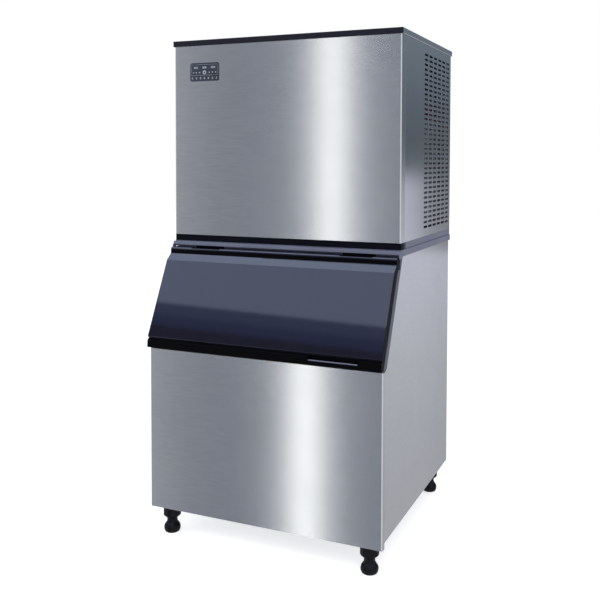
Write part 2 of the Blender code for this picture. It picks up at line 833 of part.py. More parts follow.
def door_corners(skin, back):
    """The door's side view set in by a skin, with its back edge at a distance behind the face."""
    lean = math.tan(SLOPE)
    flat = skin / math.cos(SLOPE)
    lip = HEAD_FRONT - DOOR_LIP_REACH + skin
    top = DOOR_TOP - skin
    lip_low = DOOR_TOP - DOOR_LIP_HEIGHT
    chamfer_low = lip_low - CHAMFER_HEIGHT
    fall = (slope_y(chamfer_low, 0) - lip + skin) / CHAMFER_HEIGHT
    drop = skin * (math.hypot(1, fall) - 1) / abs(fall)
    groove_y = HEAD_FRONT - SLOPE_REACH + GROOVE_DEPTH + skin
    groove_z = (SLOPE_FOOT + BAND_TOP) / 2
    band_top_y = HEAD_FRONT - DOOR_REACH + BAND_LEAN + skin
    band_low_y = HEAD_FRONT - DOOR_REACH + skin
    low = DOOR_LOW + skin
    foot = SLOPE_FOOT + skin * lean
    band = BAND_TOP - skin * lean
    return [
        (slope_y(top, back), top, 0),
        (lip, top, max(DOOR_LIP_ROUND - skin, 0)),
        (lip, lip_low - drop, 0.002),
        (slope_y(chamfer_low - drop, flat), chamfer_low - drop, 0.002),
        (slope_y(foot, flat), foot, max(0.002 - skin, 0)),
        (groove_y, groove_z, 0.001),
        (band_top_y, band, max(0.002 - skin, 0)),
        (band_low_y, low, max(0.002 - skin, 0)),
        (slope_y(low, back), low, 0),
    ]


def hinge_ears(middle, side):
    """The two lugs of the door that hold one hinge pin."""
    lip_inside = HEAD_FRONT - DOOR_LIP_REACH + DOOR_SKIN
    outline = rectangle(
        (lip_inside - 0.001, HINGE_Z - 0.0065), (HINGE_Y + 0.006, DOOR_TOP - DOOR_SKIN), 0.002
    )
    hole = ring((HINGE_Y, HINGE_Z), PIN_RADIUS + PIN_CLEARANCE, 12)
    inner = KNUCKLE_WIDTH / 2 + GAP * 2
    ears = []
    for end, start in (("outer", middle + inner), ("inner", middle - inner - EAR_WALL)):
        name = f"ear_{side}_{end}"
        ears.append(prism(name, [outline, hole], "X", start, start + EAR_WALL))
    return ears


def hinge_slot(middle, side):
    """The slot in the door's top over one hinge."""
    half = HINGE_SLOT_WIDTH / 2
    lip_inside = HEAD_FRONT - DOOR_LIP_REACH + DOOR_SKIN
    return box(
        f"cut_hinge_{side}",
        (middle - half, lip_inside + 0.002, DOOR_TOP - DOOR_SKIN - 0.003),
        (middle + half, HEAD_FRONT + 0.02, DOOR_TOP + 0.01),
    )


def handle_tools():
    """The block behind the finger pocket, the pocket itself and the lip's lowered edge."""
    left = HANDLE_X - HANDLE_WIDTH / 2
    right = HANDLE_X + HANDLE_WIDTH / 2
    face = HEAD_FRONT - DOOR_REACH
    back = face + HANDLE_LIP_WALL + HANDLE_POCKET_DEPTH
    inside = HEAD_FRONT - SLOPE_REACH + GROOVE_DEPTH + DOOR_SKIN / 2
    roof = SLOPE_FOOT - 0.002
    block = prism(
        "handle_block",
        [
            [
                (face + DOOR_SKIN / 2 + BAND_LEAN, HANDLE_FLOOR - HANDLE_WALL),
                (back + HANDLE_WALL, HANDLE_FLOOR - HANDLE_WALL),
                (back + HANDLE_WALL, roof),
                (inside, roof),
                (inside, (SLOPE_FOOT + BAND_TOP) / 2),
                (face + DOOR_SKIN / 2 + BAND_LEAN, BAND_TOP - 0.003),
            ]
        ],
        "X",
        left - HANDLE_WALL,
        right + HANDLE_WALL,
    )
    pocket = box(
        "cut_pocket",
        (left, face + HANDLE_LIP_WALL, HANDLE_FLOOR),
        (right, back, BAND_TOP + 0.004),
    )
    edge = box(
        "cut_lip",
        (left, face - 0.01, BAND_TOP - HANDLE_LIP_DROP),
        (right, face + HANDLE_LIP_WALL + 0.002, BAND_TOP + 0.004),
    )
    return block, pocket, edge


def build_door_shell():
    """The one-piece moulded door: lip, chamfer, sloping face, groove and handle band."""
    shell = prism(
        "door_shell",
        [rounded(door_corners(0, DOOR_BUILD))],
        "X",
        -DOOR_HALF,
        DOOR_HALF,
        "door_black",
    )
    inner = DOOR_HALF - DOOR_SKIN
    hollow = prism(
        "cut_door",
        [rounded(door_corners(DOOR_SKIN, DOOR_BUILD * 2))],
        "X",
        -inner,
        inner,
    )
    block, pocket, edge = handle_tools()
    cut(shell, hollow)
    unite(shell, block)
    cut(shell, pocket, edge)
    for side, middle in (("left", -HINGE_X), ("right", HINGE_X)):
        unite(shell, *hinge_ears(middle, side))
        cut(shell, hinge_slot(middle, side))


def build_door_liner():
    """The door's white inner pan, raised into the bin's mouth."""
    half = DOOR_HALF - DOOR_SKIN - GAP
    low = DOOR_LOW + DOOR_SKIN + GAP
    pan = prism(
        "door_liner",
        [sloping(low, FRAME_SHOULDER, DOOR_BUILD - PAN_BUILD, DOOR_BUILD)],
        "X",
        -half,
        half,
        "liner_white",
    )
    plug_half = OPENING_HALF - PLUG_CLEARANCE
    plug = prism(
        "liner_plug",
        [
            sloping(
                OPENING_LOW + PLUG_CLEARANCE,
                OPENING_HIGH - PLUG_CLEARANCE,
                DOOR_BUILD - PAN_BUILD / 2,
                FRAME_INSET + PLUG_DEPTH,
            )
        ],
        "X",
        -plug_half,
        plug_half,
    )
    unite(pan, plug)


def build_door_core():
    """The foam between the door's face and its inner pan."""
    half = DOOR_HALF - DOOR_SKIN - GAP
    front = (DOOR_SKIN + GAP) / math.cos(SLOPE)
    back = DOOR_BUILD - PAN_BUILD - GAP
    outline = sloping(SLOPE_FOOT + 0.004, FRAME_SHOULDER - 0.006, front, back)
    prism("door_core", [outline], "X", -half, half, "foam")


def build_door_gasket():
    """The rubber seal between the door and its frame."""
    half = DOOR_HALF - GASKET_BORDER
    seal = prism(
        "door_gasket",
        [
            sloping(
                DOOR_LOW + GASKET_BORDER,
                FRAME_SHOULDER - 0.001,
                DOOR_BUILD + GAP,
                FRAME_INSET - GAP,
            )
        ],
        "X",
        -half,
        half,
        "gasket_rubber",
    )
    cut(seal, opening_cutter("cut_seal", GASKET_INNER, GASKET_INNER, GASKET_INNER))


# Legs.


def build_legs():
    """Four leg sleeves under the bin, and the feet that screw into them."""
    low = FOOT_HEIGHT + GAP
    high = LEG_HEIGHT - GAP
    stem_top = LEG_HEIGHT - STEM_DROP
    bore = STEM_RADIUS + GAP
    sleeve = [
        (0, high),
        (SLEEVE_RADIUS - 0.001, high),
        (SLEEVE_RADIUS, high - 0.001),
        (SLEEVE_RADIUS, low + 0.003),
        (SLEEVE_RADIUS - 0.002, low),
        (bore, low),
        (bore, stem_top + 0.003),
        (0, stem_top + 0.003),
    ]
    foot = [
        (0, stem_top),
        (STEM_RADIUS, stem_top),
        (STEM_RADIUS, FOOT_HEIGHT),
        (0.0225, FOOT_HEIGHT),
        (0.0180, 0.046),
        (0.0162, 0.041),
        (0.0160, 0.036),
        (0.0175, 0.031),
        (0.0220, 0.025),
        (0.0250, 0.020),
        (0.0260, 0.014),
        (0.0250, 0.007),
        (0.0225, 0.002),
        (0.0190, 0),
        (0, 0),
    ]
    for corner, (across, along) in LEG_PLACES.items():
        turned(f"leg_sleeve_{corner}", sleeve, (across, along, 0), "leg_black", FOOT_STEPS)
        turned(f"foot_{corner}", foot, (across, along, 0), "leg_black", FOOT_STEPS)


# Head casing.


def build_base_pan():
    """The head's floor: a shallow pan with the hole that ice drops through."""
    half = HALF - BAND_WALL - GAP * 2
    front = HEAD_FRONT + BAND_WALL + GAP * 2
    back = HEAD_BACK - SHEET - GAP
    top = HEAD_FLOOR + PAN_HEIGHT
    pan = box("head_base_pan", (-half, front, HEAD_FLOOR), (half, back, top), "galvanised")
    room = box(
        "cut_pan",
        (-half + PAN_WALL, front + PAN_WALL, HEAD_FLOOR + PAN_WALL),
        (half - PAN_WALL, back - PAN_WALL, top + 0.01),
    )
    drop = CHUTE_WIDTH / 2 + GAP * 2
    hole = box(
        "cut_drop",
        (-drop, MAKER_AXIS_Y - drop, HEAD_FLOOR - 0.01),
        (drop, MAKER_AXIS_Y + drop, HEAD_FLOOR + 0.01),
    )
    cut(pan, room, hole)


def build_posts():
    """Four folded corner posts standing in the pan."""
    low = PAN_TOP + GAP
    corners = {
        "front_left": (-POST_X, POST_FRONT, 1, 1),
        "front_right": (POST_X, POST_FRONT, -1, 1),
        "back_left": (-POST_X, POST_BACK, 1, -1),
        "back_right": (POST_X, POST_BACK, -1, -1),
    }
    for corner, (x, y, inward, rearward) in corners.items():
        plan = [
            (x, y),
            (x + inward * POST_LEG, y),
            (x + inward * POST_LEG, y + rearward * POST_SHEET),
            (x + inward * POST_SHEET, y + rearward * POST_SHEET),
            (x + inward * POST_SHEET, y + rearward * POST_LEG),
            (x, y + rearward * POST_LEG),
        ]
        prism(f"head_post_{corner}", [plan], "Z", low, PANEL_HIGH, "galvanised")


def build_front_panel():
    """The stainless front, wrapped round both front corners, with the display window."""
    plan = channel(HALF, HEAD_FRONT, FRONT_WRAP, SHEET, FOLD_RADIUS)
    panel = prism("head_front_panel", [plan], "Z", PANEL_LOW, PANEL_HIGH, "brushed_stainless")
    half = DISPLAY_WIDTH / 2 - DISPLAY_RIM + GAP
    rise = DISPLAY_HEIGHT / 2 - DISPLAY_RIM + GAP
    middle = HEAD_TOP - DISPLAY_DROP
    window = box(
        "cut_display",
        (DISPLAY_X - half, HEAD_FRONT - 0.01, middle - rise),
        (DISPLAY_X + half, HEAD_FRONT + 0.01, middle + rise),
    )
    cut(panel, window)


def spaced(start, end, pitch):
    """Places one pitch apart, from a start to an end."""
    count = int((end - start) / pitch) + 1
    return [start + pitch * index for index in range(count)]


def slot_field(name, rows, columns):
    """One cutter holding a field of slots, given as the middles of its rows and columns."""
    mesh = bpy.data.meshes.new(name)
    work = bmesh.new()
    for height in rows:
        for along in columns:
            place = Matrix.Translation((HALF, along, height))
            size = Matrix.Diagonal((0.02, SLOT_LENGTH, SLOT_HEIGHT, 1))
            bmesh.ops.create_cube(work, size=1, matrix=place @ size)
    work.to_mesh(mesh)
    work.free()
    return settle(bpy.data.objects.new(name, mesh), name, None)


def build_side_panels():
    """The head's side panels; the right one has the cooling slots."""
    front = HEAD_FRONT + FRONT_WRAP + GAP
    low = (front, PANEL_LOW)
    high = (HEAD_BACK, PANEL_HIGH)
    for side, left in (("left", -HALF), ("right", HALF - SHEET)):
        panel = prism(
            f"head_side_panel_{side}",
            [rectangle(low, high)],
            "X",
            left,
            left + SHEET,
            "brushed_stainless",
        )
        if side == "right":
            rows = spaced(PANEL_LOW + SLOT_FIELD_LOW, PANEL_HIGH - SLOT_FIELD_TOP, SLOT_ROW_PITCH)
            columns = [
                HEAD_BACK - SLOT_FIELD_REAR - SLOT_COLUMN_PITCH * column
                for column in range(SLOT_COLUMNS)
            ]
            cut(panel, slot_field("cut_slots", rows, columns))


def build_back_panel():
    """The back, with the exhaust grille and the holes for its two fittings."""
    half = HALF - BAND_WALL - GAP
    panel = box(
        "head_back_panel",
        (-half, HEAD_BACK - SHEET, HEAD_FLOOR),
        (half, HEAD_BACK, PANEL_HIGH),
        "galvanised",
    )
    mesh = bpy.data.meshes.new("cut_grille")
    work = bmesh.new()
    for height in spaced(PANEL_LOW + GRILLE_LOW, PANEL_HIGH - GRILLE_TOP_MARGIN, GRILLE_PITCH):
        for across in (-GRILLE_X, GRILLE_X):
            place = Matrix.Translation((across, HEAD_BACK, height))
            size = Matrix.Diagonal((GRILLE_SLOT_LENGTH, 0.02, GRILLE_SLOT_HEIGHT, 1))
            bmesh.ops.create_cube(work, size=1, matrix=place @ size)
    work.to_mesh(mesh)
    work.free()
    grille = settle(bpy.data.objects.new("cut_grille", mesh), "cut_grille", None)
    holes = [
        rod(
            f"cut_{name}",
            (across, HEAD_BACK - 0.01, height),
            (across, HEAD_BACK + 0.01, height),
            radius + GAP,
        )
        for name, across, height, radius in (
            ("inlet", INLET_X, INLET_Z, INLET_RADIUS),
            ("gland", GLAND_X, GLAND_Z, GLAND_RADIUS),
        )
    ]
    cut(panel, grille, *holes)


def build_gland():
    """The gland in the back panel that a power cord would pass through."""
    flange = GLAND_DEPTH + GAP
    profile = [
        (GLAND_BORE, GLAND_DEPTH + GLAND_REACH),
        (GLAND_RADIUS, GLAND_DEPTH + GLAND_REACH),
        (GLAND_NUT_RADIUS, flange + GLAND_NUT),
        (GLAND_NUT_RADIUS, flange),
        (GLAND_RADIUS, flange),
        (GLAND_RADIUS, 0),
        (GLAND_BORE, 0),
    ]
    place = (GLAND_X, HEAD_BACK - GLAND_DEPTH, GLAND_Z)
    turned("cable_gland", profile, place, "leg_black", along="Y")


def build_lid():
    """The black cap over the head."""
    half = HALF + LID_OVERHANG
    front = HEAD_FRONT - LID_OVERHANG
    back = HEAD_BACK + LID_OVERHANG
    low = HEAD_TOP - LID_HEIGHT
    lid = box("head_lid", (-half, front, low), (half, back, HEAD_TOP), "black_lid", LID_EDGE)
    inner = box(
        "cut_lid",
        (-half + LID_WALL, front + LID_WALL, low - 0.01),
        (half - LID_WALL, back - LID_WALL, HEAD_TOP - LID_WALL),
    )
    cut(lid, inner)


def build_base_band():
    """The black band along the head's foot, and the rails that carry on down both sides."""
    plan = channel(HALF, HEAD_FRONT, BAND_WRAP, BAND_WALL, FOLD_RADIUS)
    high = HEAD_FLOOR + BAND_HEIGHT
    prism("head_base_band", [plan], "Z", HEAD_FLOOR, high, "black_band")
    for side, left in (("left", -HALF), ("right", HALF - BAND_WALL)):
        box(
            f"head_side_rail_{side}",
            (left, HEAD_FRONT + RAIL_START, HEAD_FLOOR),
            (left + BAND_WALL, HEAD_BACK, high),
            "grey_trim",
        )


def build_display():
    """The display plate on the front, with its module behind the window."""
    middle = HEAD_TOP - DISPLAY_DROP
    half = DISPLAY_WIDTH / 2
    rise = DISPLAY_HEIGHT / 2
    plate = prism(
        "display_panel",
        [
            rectangle(
                (DISPLAY_X - half, middle - rise),
                (DISPLAY_X + half, middle + rise),
                DISPLAY_CORNER,
            )
        ],
        "Y",
        HEAD_FRONT - DISPLAY_PROUD,
        HEAD_FRONT - GAP,
        "display_black",
    )
    module = box(
        "display_module",
        (DISPLAY_X - half + DISPLAY_RIM, HEAD_FRONT - DISPLAY_PROUD / 2, middle - rise + DISPLAY_RIM),
        (DISPLAY_X + half - DISPLAY_RIM, HEAD_FRONT + DISPLAY_DEPTH, middle + rise - DISPLAY_RIM),
    )
    unite(plate, module)


def build_control_box():
    """The electrical box in the angle of the right front post."""
    right = POST_X - POST_SHEET - GAP
    front = POST_FRONT + POST_SHEET + GAP
    low = (right - CONTROL_WIDTH, front, CONTROL_LOW)
    high = (right, front + CONTROL_DEPTH, CONTROL_LOW + CONTROL_HEIGHT)
    case = box("control_box", low, high, "galvanised")
    cover = box(
        "control_cover",
        (low[0] - CONTROL_COVER, high[1] - CONTROL_COVER * 2, low[2] - CONTROL_COVER),
        (high[0] + CONTROL_COVER / 2, high[1] + CONTROL_COVER, high[2] + CONTROL_COVER),
    )
    unite(case, cover)


# Ice maker.


def build_gear_motor():
    """The gear case under the barrel, with the drive motor lying behind it."""
    low = PAN_TOP + GAP
    socket = AUGER_SHAFT + GAP
    profile = [
        (socket, GEAR_TOP),
        (GEAR_RADIUS * 0.72, GEAR_TOP),
        (GEAR_RADIUS * 0.72, GEAR_TOP - 0.030),
        (GEAR_RADIUS * 0.95, GEAR_TOP - 0.042),
        (GEAR_RADIUS, GEAR_TOP - 0.055),
        (GEAR_RADIUS, low + 0.010),
        (GEAR_RADIUS * 1.1, low + 0.010),
        (GEAR_RADIUS * 1.1, low),
        (0, low),
        (0, GEAR_TOP - 0.035),
        (socket, GEAR_TOP - 0.035),
    ]
    case = turned("gear_motor", profile, (MAKER_X, MAKER_AXIS_Y, 0), "motor_paint")
    height = low + 0.012 + DRIVE_RADIUS
    motor = rod(
        "drive_motor",
        (MAKER_X, MAKER_AXIS_Y + GEAR_RADIUS * 0.5, height),
        (MAKER_X, MAKER_AXIS_Y + DRIVE_LENGTH, height),
        DRIVE_RADIUS,
    )
    unite(case, motor)


def build_barrel():
    """The evaporator barrel that the ice freezes in, flanged at both ends."""
    profile = [
        (BARREL_BORE, BARREL_HIGH),
        (BARREL_RIM, BARREL_HIGH),
        (BARREL_RIM, BARREL_HIGH - 0.010),
        (BARREL_RADIUS, BARREL_HIGH - 0.014),
        (BARREL_RADIUS, BARREL_LOW + 0.014),
        (BARREL_RIM, BARREL_LOW + 0.010),
        (BARREL_RIM, BARREL_LOW),
        (BARREL_BORE, BARREL_LOW),
    ]
    turned("evaporator_barrel", profile, (MAKER_X, MAKER_AXIS_Y, 0), "pipe_foam")


def build_auger():
    """The auger: a shaft with one long helical flight."""
    low = GEAR_TOP - 0.032
    high = BREAKER_HIGH - 0.006
    shaft = rod(
        "auger",
        (MAKER_X, MAKER_AXIS_Y, low),
        (MAKER_X, MAKER_AXIS_Y, high),
        AUGER_SHAFT,
        "zinc",
        sides=AUGER_STEPS,
    )
    start = BARREL_LOW + (BARREL_HEIGHT - AUGER_PITCH * AUGER_TURNS) / 2
    outer = BARREL_BORE - AUGER_CLEARANCE
    inner = AUGER_SHAFT * 0.6
    work = bmesh.new()
    section = [
        (inner, start - FLIGHT_THICKNESS / 2),
        (outer, start - FLIGHT_THICKNESS / 3),
        (outer, start + FLIGHT_THICKNESS / 3),
        (inner, start + FLIGHT_THICKNESS / 2),
    ]
    corners = [work.verts.new((radius, 0, height)) for radius, height in section]
    face = work.faces.new(corners)
    steps = AUGER_STEPS * AUGER_TURNS
    bmesh.ops.spin(
        work,
        geom=[*corners, *face.edges, face],
        cent=(0, 0, 0),
        axis=(0, 0, 1),
        dvec=(0, 0, AUGER_PITCH / AUGER_STEPS),
        angle=2 * math.pi * AUGER_TURNS,
        steps=steps,
        use_duplicate=False,
    )
    bmesh.ops.recalc_face_normals(work, faces=work.faces)
    mesh = bpy.data.meshes.new("auger_flight")
    work.to_mesh(mesh)
    work.free()
    flight = bpy.data.objects.new("auger_flight", mesh)
    flight.location = (MAKER_X, MAKER_AXIS_Y, 0)
    unite(shaft, settle(flight, "auger_flight", None))


def build_breaker():
    """The ice breaker head on the barrel, with its outlet port."""
    low = BARREL_HIGH + GAP
    bore = AUGER_SHAFT + AUGER_CLEARANCE
    room = BREAKER_RADIUS - BREAKER_WALL
    profile = [
        (bore, BREAKER_HIGH),
        (BREAKER_RADIUS - 0.006, BREAKER_HIGH),
        (BREAKER_RADIUS, BREAKER_HIGH - 0.006),
        (BREAKER_RADIUS, low),
        (room, low),
        (room, BREAKER_HIGH - 0.014),
        (bore, BREAKER_HIGH - 0.014),
    ]
    head = turned("ice_breaker_head", profile, (MAKER_X, MAKER_AXIS_Y, 0), "casting")
    port = box(
        "cut_port",
        (MAKER_X + room / 2, MAKER_AXIS_Y - PORT_WIDTH / 2, low + 0.010),
        (MAKER_X + BREAKER_RADIUS + 0.01, MAKER_AXIS_Y + PORT_WIDTH / 2, BREAKER_HIGH - 0.018),
    )
    cut(head, port)


def chute_outline(wall, reach):
    """The chute from the front, set in by a wall and run past its open ends by reach."""
    half = CHUTE_WIDTH / 2 - wall
    mouth = MAKER_X + BREAKER_RADIUS + GAP - reach
    high = BREAKER_HIGH - wall
    low = BIN_TOP - CHUTE_TAIL - reach
    under = BREAKER_HIGH - CHUTE_MOUTH + wall
    return [
        (mouth, under),
        (mouth, high),
        (half - 0.030, high),
        (half, high - 0.030),
        (half, low),
        (-half, low),
        (-half, under - 0.020),
    ]


def build_chute():
    """The chute that carries ice from the breaker head down into the bin."""
    half = CHUTE_WIDTH / 2
    chute = prism(
        "ice_chute",
        [chute_outline(0, 0)],
        "Y",
        MAKER_AXIS_Y - half,
        MAKER_AXIS_Y + half,
        "liner_white",
    )
    inner = half - CHUTE_WALL
    way = prism(
        "cut_chute",
        [chute_outline(CHUTE_WALL, 0.02)],
        "Y",
        MAKER_AXIS_Y - inner,
        MAKER_AXIS_Y + inner,
    )
    cut(chute, way)


# Water supply.


def build_reservoir():
    """The open water tank on the left side panel."""
    low = (RESERVOIR_LEFT, RESERVOIR_FRONT, RESERVOIR_Z)
    high = (
        RESERVOIR_LEFT + RESERVOIR_WIDTH,
        RESERVOIR_FRONT + RESERVOIR_LENGTH,
        RESERVOIR_TOP,
    )
    tank = box("water_reservoir", low, high, "liner_white")
    wall = RESERVOIR_WALL
    room = box(
        "cut_reservoir",
        (low[0] + wall, low[1] + wall, low[2] + wall),
        (high[0] - wall, high[1] - wall, high[2] + 0.01),
    )
    cut(tank, room)


def build_float_valve():
    """The valve on the tank's front wall, with the ears that hold the float arm."""
    half = VALVE_WIDTH / 2
    low = RESERVOIR_TOP + GAP
    body = box(
        "float_valve",
        (VALVE_X - half, RESERVOIR_FRONT, low),
        (VALVE_X + half, RESERVOIR_FRONT + VALVE_LENGTH, low + VALVE_HEIGHT),
        "liner_white",
    )
    outline = rectangle(
        (RESERVOIR_FRONT + VALVE_LENGTH - 0.002, low),
        (FLOAT_PIN_Y + 0.006, FLOAT_PIN_Z + 0.006),
        0.002,
    )
    hole = ring((FLOAT_PIN_Y, FLOAT_PIN_Z), FLOAT_PIN_RADIUS + GAP, 12)
    for end, start in (("left", VALVE_X - half), ("right", VALVE_X + half - VALVE_EAR)):
        unite(body, prism(f"valve_ear_{end}", [outline, hole], "X", start, start + VALVE_EAR))


def build_float_arm():
    """The float on its arm, turning on a pin between the valve's ears."""
    half = VALVE_WIDTH / 2 + 0.001
    pin = rod(
        "float_arm",
        (VALVE_X - half, FLOAT_PIN_Y, FLOAT_PIN_Z),
        (VALVE_X + half, FLOAT_PIN_Y, FLOAT_PIN_Z),
        FLOAT_PIN_RADIUS,
        "clear_hose",
        sides=12,
    )
    float_y = FLOAT_PIN_Y + FLOAT_REACH
    float_z = FLOAT_PIN_Z - FLOAT_SINK
    bar = prism(
        "float_bar",
        [
            [
                (FLOAT_PIN_Y - 0.0035, FLOAT_PIN_Z - 0.002),
                (FLOAT_PIN_Y - 0.0015, FLOAT_PIN_Z + 0.003),
                (FLOAT_PIN_Y + 0.004, FLOAT_PIN_Z + 0.003),
                (float_y + 0.003, float_z + 0.004),
                (float_y - 0.003, float_z - 0.003),
            ]
        ],
        "X",
        VALVE_X - ARM_WIDTH / 2,
        VALVE_X + ARM_WIDTH / 2,
    )
    ball = rod(
        "float_body",
        (VALVE_X - FLOAT_LENGTH / 2, float_y, float_z),
        (VALVE_X + FLOAT_LENGTH / 2, float_y, float_z),
        FLOAT_RADIUS,
    )
    unite(pin, bar, ball)


def build_water_inlet():
    """The water inlet fitting in the back panel."""
    length = INLET_DEPTH + BACK_REACH
    flange = INLET_DEPTH + GAP
    profile = [
        (INLET_BORE, length),
        (INLET_RADIUS, length),
        (INLET_RADIUS, flange + 0.004),
        (INLET_RADIUS * 1.5, flange + 0.004),
        (INLET_RADIUS * 1.5, flange),
        (INLET_RADIUS, flange),
        (INLET_RADIUS, 0),
        (INLET_BORE, 0),
    ]
    start = HEAD_BACK - INLET_DEPTH
    turned("water_inlet_fitting", profile, (INLET_X, start, INLET_Z), "casting", along="Y")


# Refrigeration.


def build_compressor():
    """The sealed compressor on its base plate and four mounts."""
    floor = PAN_TOP + GAP
    base = floor + MOUNT_HEIGHT
    top = base + COMPRESSOR_HEIGHT
    middle_y = HEAD_FRONT + COMPRESSOR_Y
    profile = [
        (0, top),
        (COMPRESSOR_RADIUS * 0.50, top - 0.002),
        (COMPRESSOR_RADIUS * 0.85, top - 0.016),
        (COMPRESSOR_RADIUS, top - 0.040),
        (COMPRESSOR_RADIUS, base + 0.045),
        (COMPRESSOR_RADIUS * 0.92, base + 0.016),
        (COMPRESSOR_RADIUS * 0.70, base + 0.002),
        (0, base + 0.002),
    ]
    can = turned("compressor", profile, (COMPRESSOR_X, middle_y, 0), "motor_paint")
    reach = COMPRESSOR_RADIUS * 0.95
    plate = box(
        "compressor_plate",
        (COMPRESSOR_X - reach, middle_y - reach, base),
        (COMPRESSOR_X + reach, middle_y + reach, base + 0.005),
    )
    cover = box(
        "compressor_terminals",
        (COMPRESSOR_X - TERMINAL_HALF, middle_y + COMPRESSOR_RADIUS * 0.8, base + TERMINAL_LOW),
        (
            COMPRESSOR_X + TERMINAL_HALF,
            middle_y + COMPRESSOR_RADIUS + TERMINAL_REACH,
            base + TERMINAL_LOW + TERMINAL_HEIGHT,
        ),
    )
    unite(can, plate, cover)
    spread = reach - 0.014
    for index, (side, end) in enumerate(((-1, -1), (1, -1), (-1, 1), (1, 1))):
        across = COMPRESSOR_X + side * spread
        along = middle_y + end * spread
        mount = rod(
            f"compressor_mount_{index}", (across, along, floor), (across, along, base + 0.002), 0.011
        )
        unite(can, mount)


def build_condenser():
    """The condenser coil with its fins and end plates, standing in the pan."""
    high = CONDENSER_HIGH
    left = CONDENSER_X
    right = CONDENSER_X + CONDENSER_THICKNESS
    front = CONDENSER_FRONT
    back = CONDENSER_BACK
    coil = box("condenser_coil", (left, front, CONDENSER_LOW), (right, back, high), "fin_aluminium")
    mesh = bpy.data.meshes.new("cut_fins")
    work = bmesh.new()
    gap_width = FIN_PITCH - FIN_THICKNESS
    along = front + FIN_THICKNESS + gap_width / 2
    while along + gap_width < back:
        for across in (left, right):
            place = Matrix.Translation((across, along, (CONDENSER_LOW + high) / 2))
            size = Matrix.Diagonal((2 * FIN_DEPTH, gap_width, 2 * CONDENSER_HEIGHT, 1))
            bmesh.ops.create_cube(work, size=1, matrix=place @ size)
        along += FIN_PITCH
    work.to_mesh(mesh)
    work.free()
    cut(coil, settle(bpy.data.objects.new("cut_fins", mesh), "cut_fins", None))
    for end, start in (("front", front - 0.001), ("back", back - END_PLATE + 0.001)):
        plate = box(
            f"condenser_end_{end}",
            (left - END_PLATE_LIP, start, PAN_TOP + GAP),
            (right + END_PLATE_LIP, start + END_PLATE, high + 0.005),
        )
        unite(coil, plate)


def build_shroud():
    """The plate that guides air from the condenser to the fan."""
    low = (CONDENSER_FRONT, PAN_TOP + GAP)
    high = (CONDENSER_BACK, CONDENSER_HIGH)
    hole = ring((FAN_Y, FAN_Z), FAN_RADIUS + FAN_CLEARANCE, 32)
    prism(
        "fan_shroud", [rectangle(low, high), hole], "X", SHROUD_LEFT, SHROUD_RIGHT, "galvanised"
    )


def build_fan_motor():
    """The fan's motor on the strap that bridges the shroud."""
    end = FAN_X - 0.003
    motor = rod(
        "fan_motor",
        (end - FAN_MOTOR_LENGTH, FAN_Y, FAN_Z),
        (end, FAN_Y, FAN_Z),
        FAN_MOTOR_RADIUS,
        "motor_paint",
    )
    shaft = rod(
        "fan_shaft", (end - 0.004, FAN_Y, FAN_Z), (FAN_X + 0.020, FAN_Y, FAN_Z), FAN_SHAFT_RADIUS,
        sides=12,
    )
    back = end - 0.008
    span = FAN_RADIUS + FAN_CLEARANCE + 0.020
    face = SHROUD_LEFT - GAP
    strap = prism(
        "fan_strap",
        [
            [
                (back, FAN_Z - span),
                (back, FAN_Z + span),
                (face, FAN_Z + span),
                (face, FAN_Z + span - STRAP_SHEET),
                (back + STRAP_SHEET, FAN_Z + span - STRAP_SHEET),
                (back + STRAP_SHEET, FAN_Z - span + STRAP_SHEET),
                (face, FAN_Z - span + STRAP_SHEET),
                (face, FAN_Z - span),
            ]
        ],
        "Y",
        FAN_Y - STRAP_WIDTH / 2,
        FAN_Y + STRAP_WIDTH / 2,
    )
    unite(motor, shaft, strap)


def fan_blade(index):
    """One curved fan blade as a thin sheet, wider and flatter towards its tip."""
    columns, rows = 4, 4
    mesh = bpy.data.meshes.new(f"blade_{index}")
    work = bmesh.new()
    grid = []
    for row in range(rows + 1):
        share = row / rows
        radius = FAN_HUB_RADIUS * 0.8 + (FAN_RADIUS - FAN_HUB_RADIUS * 0.8) * share
        pitch = math.radians(42 - 20 * share)
        width = 0.040 + 0.042 * share
        line = []
        for column in range(columns + 1):
            across = (column / columns - 0.5) * width
            turn = across * math.cos(pitch) / radius
            lift = across * math.sin(pitch) * 0.55
            line.append(
                work.verts.new((lift, radius * math.sin(turn), radius * math.cos(turn)))
            )
        grid.append(line)
    for lower, upper in zip(grid, grid[1:]):
        for column in range(columns):
            work.faces.new((lower[column], lower[column + 1], upper[column + 1], upper[column]))
    work.to_mesh(mesh)
    work.free()
    blade = bpy.data.objects.new(f"blade_{index}", mesh)
    blade.location = (FAN_X + FAN_HUB_LENGTH / 2, FAN_Y, FAN_Z)
    blade.rotation_euler = (2 * math.pi * index / FAN_BLADES, 0, 0)
    sheet = blade.modifiers.new("thickness", "SOLIDIFY")
    sheet.thickness = BLADE_THICKNESS
    sheet.offset = 0
    return settle(blade, f"blade_{index}", None)


def build_fan():
    """The fan: a hub with a bore for the motor shaft, and its blades."""
    hub = rod(
        "fan_blade",
        (FAN_X, FAN_Y, FAN_Z),
        (FAN_X + FAN_HUB_LENGTH, FAN_Y, FAN_Z),
        FAN_HUB_RADIUS,
        "motor_paint",
    )
    unite(hub, *(fan_blade(index) for index in range(FAN_BLADES)))
    bore = rod(
        "cut_fan_bore",
        (FAN_X - 0.005, FAN_Y, FAN_Z),
        (FAN_X + 0.022, FAN_Y, FAN_Z),
        FAN_SHAFT_RADIUS + GAP,
        sides=12,
    )
    cut(hub, bore)


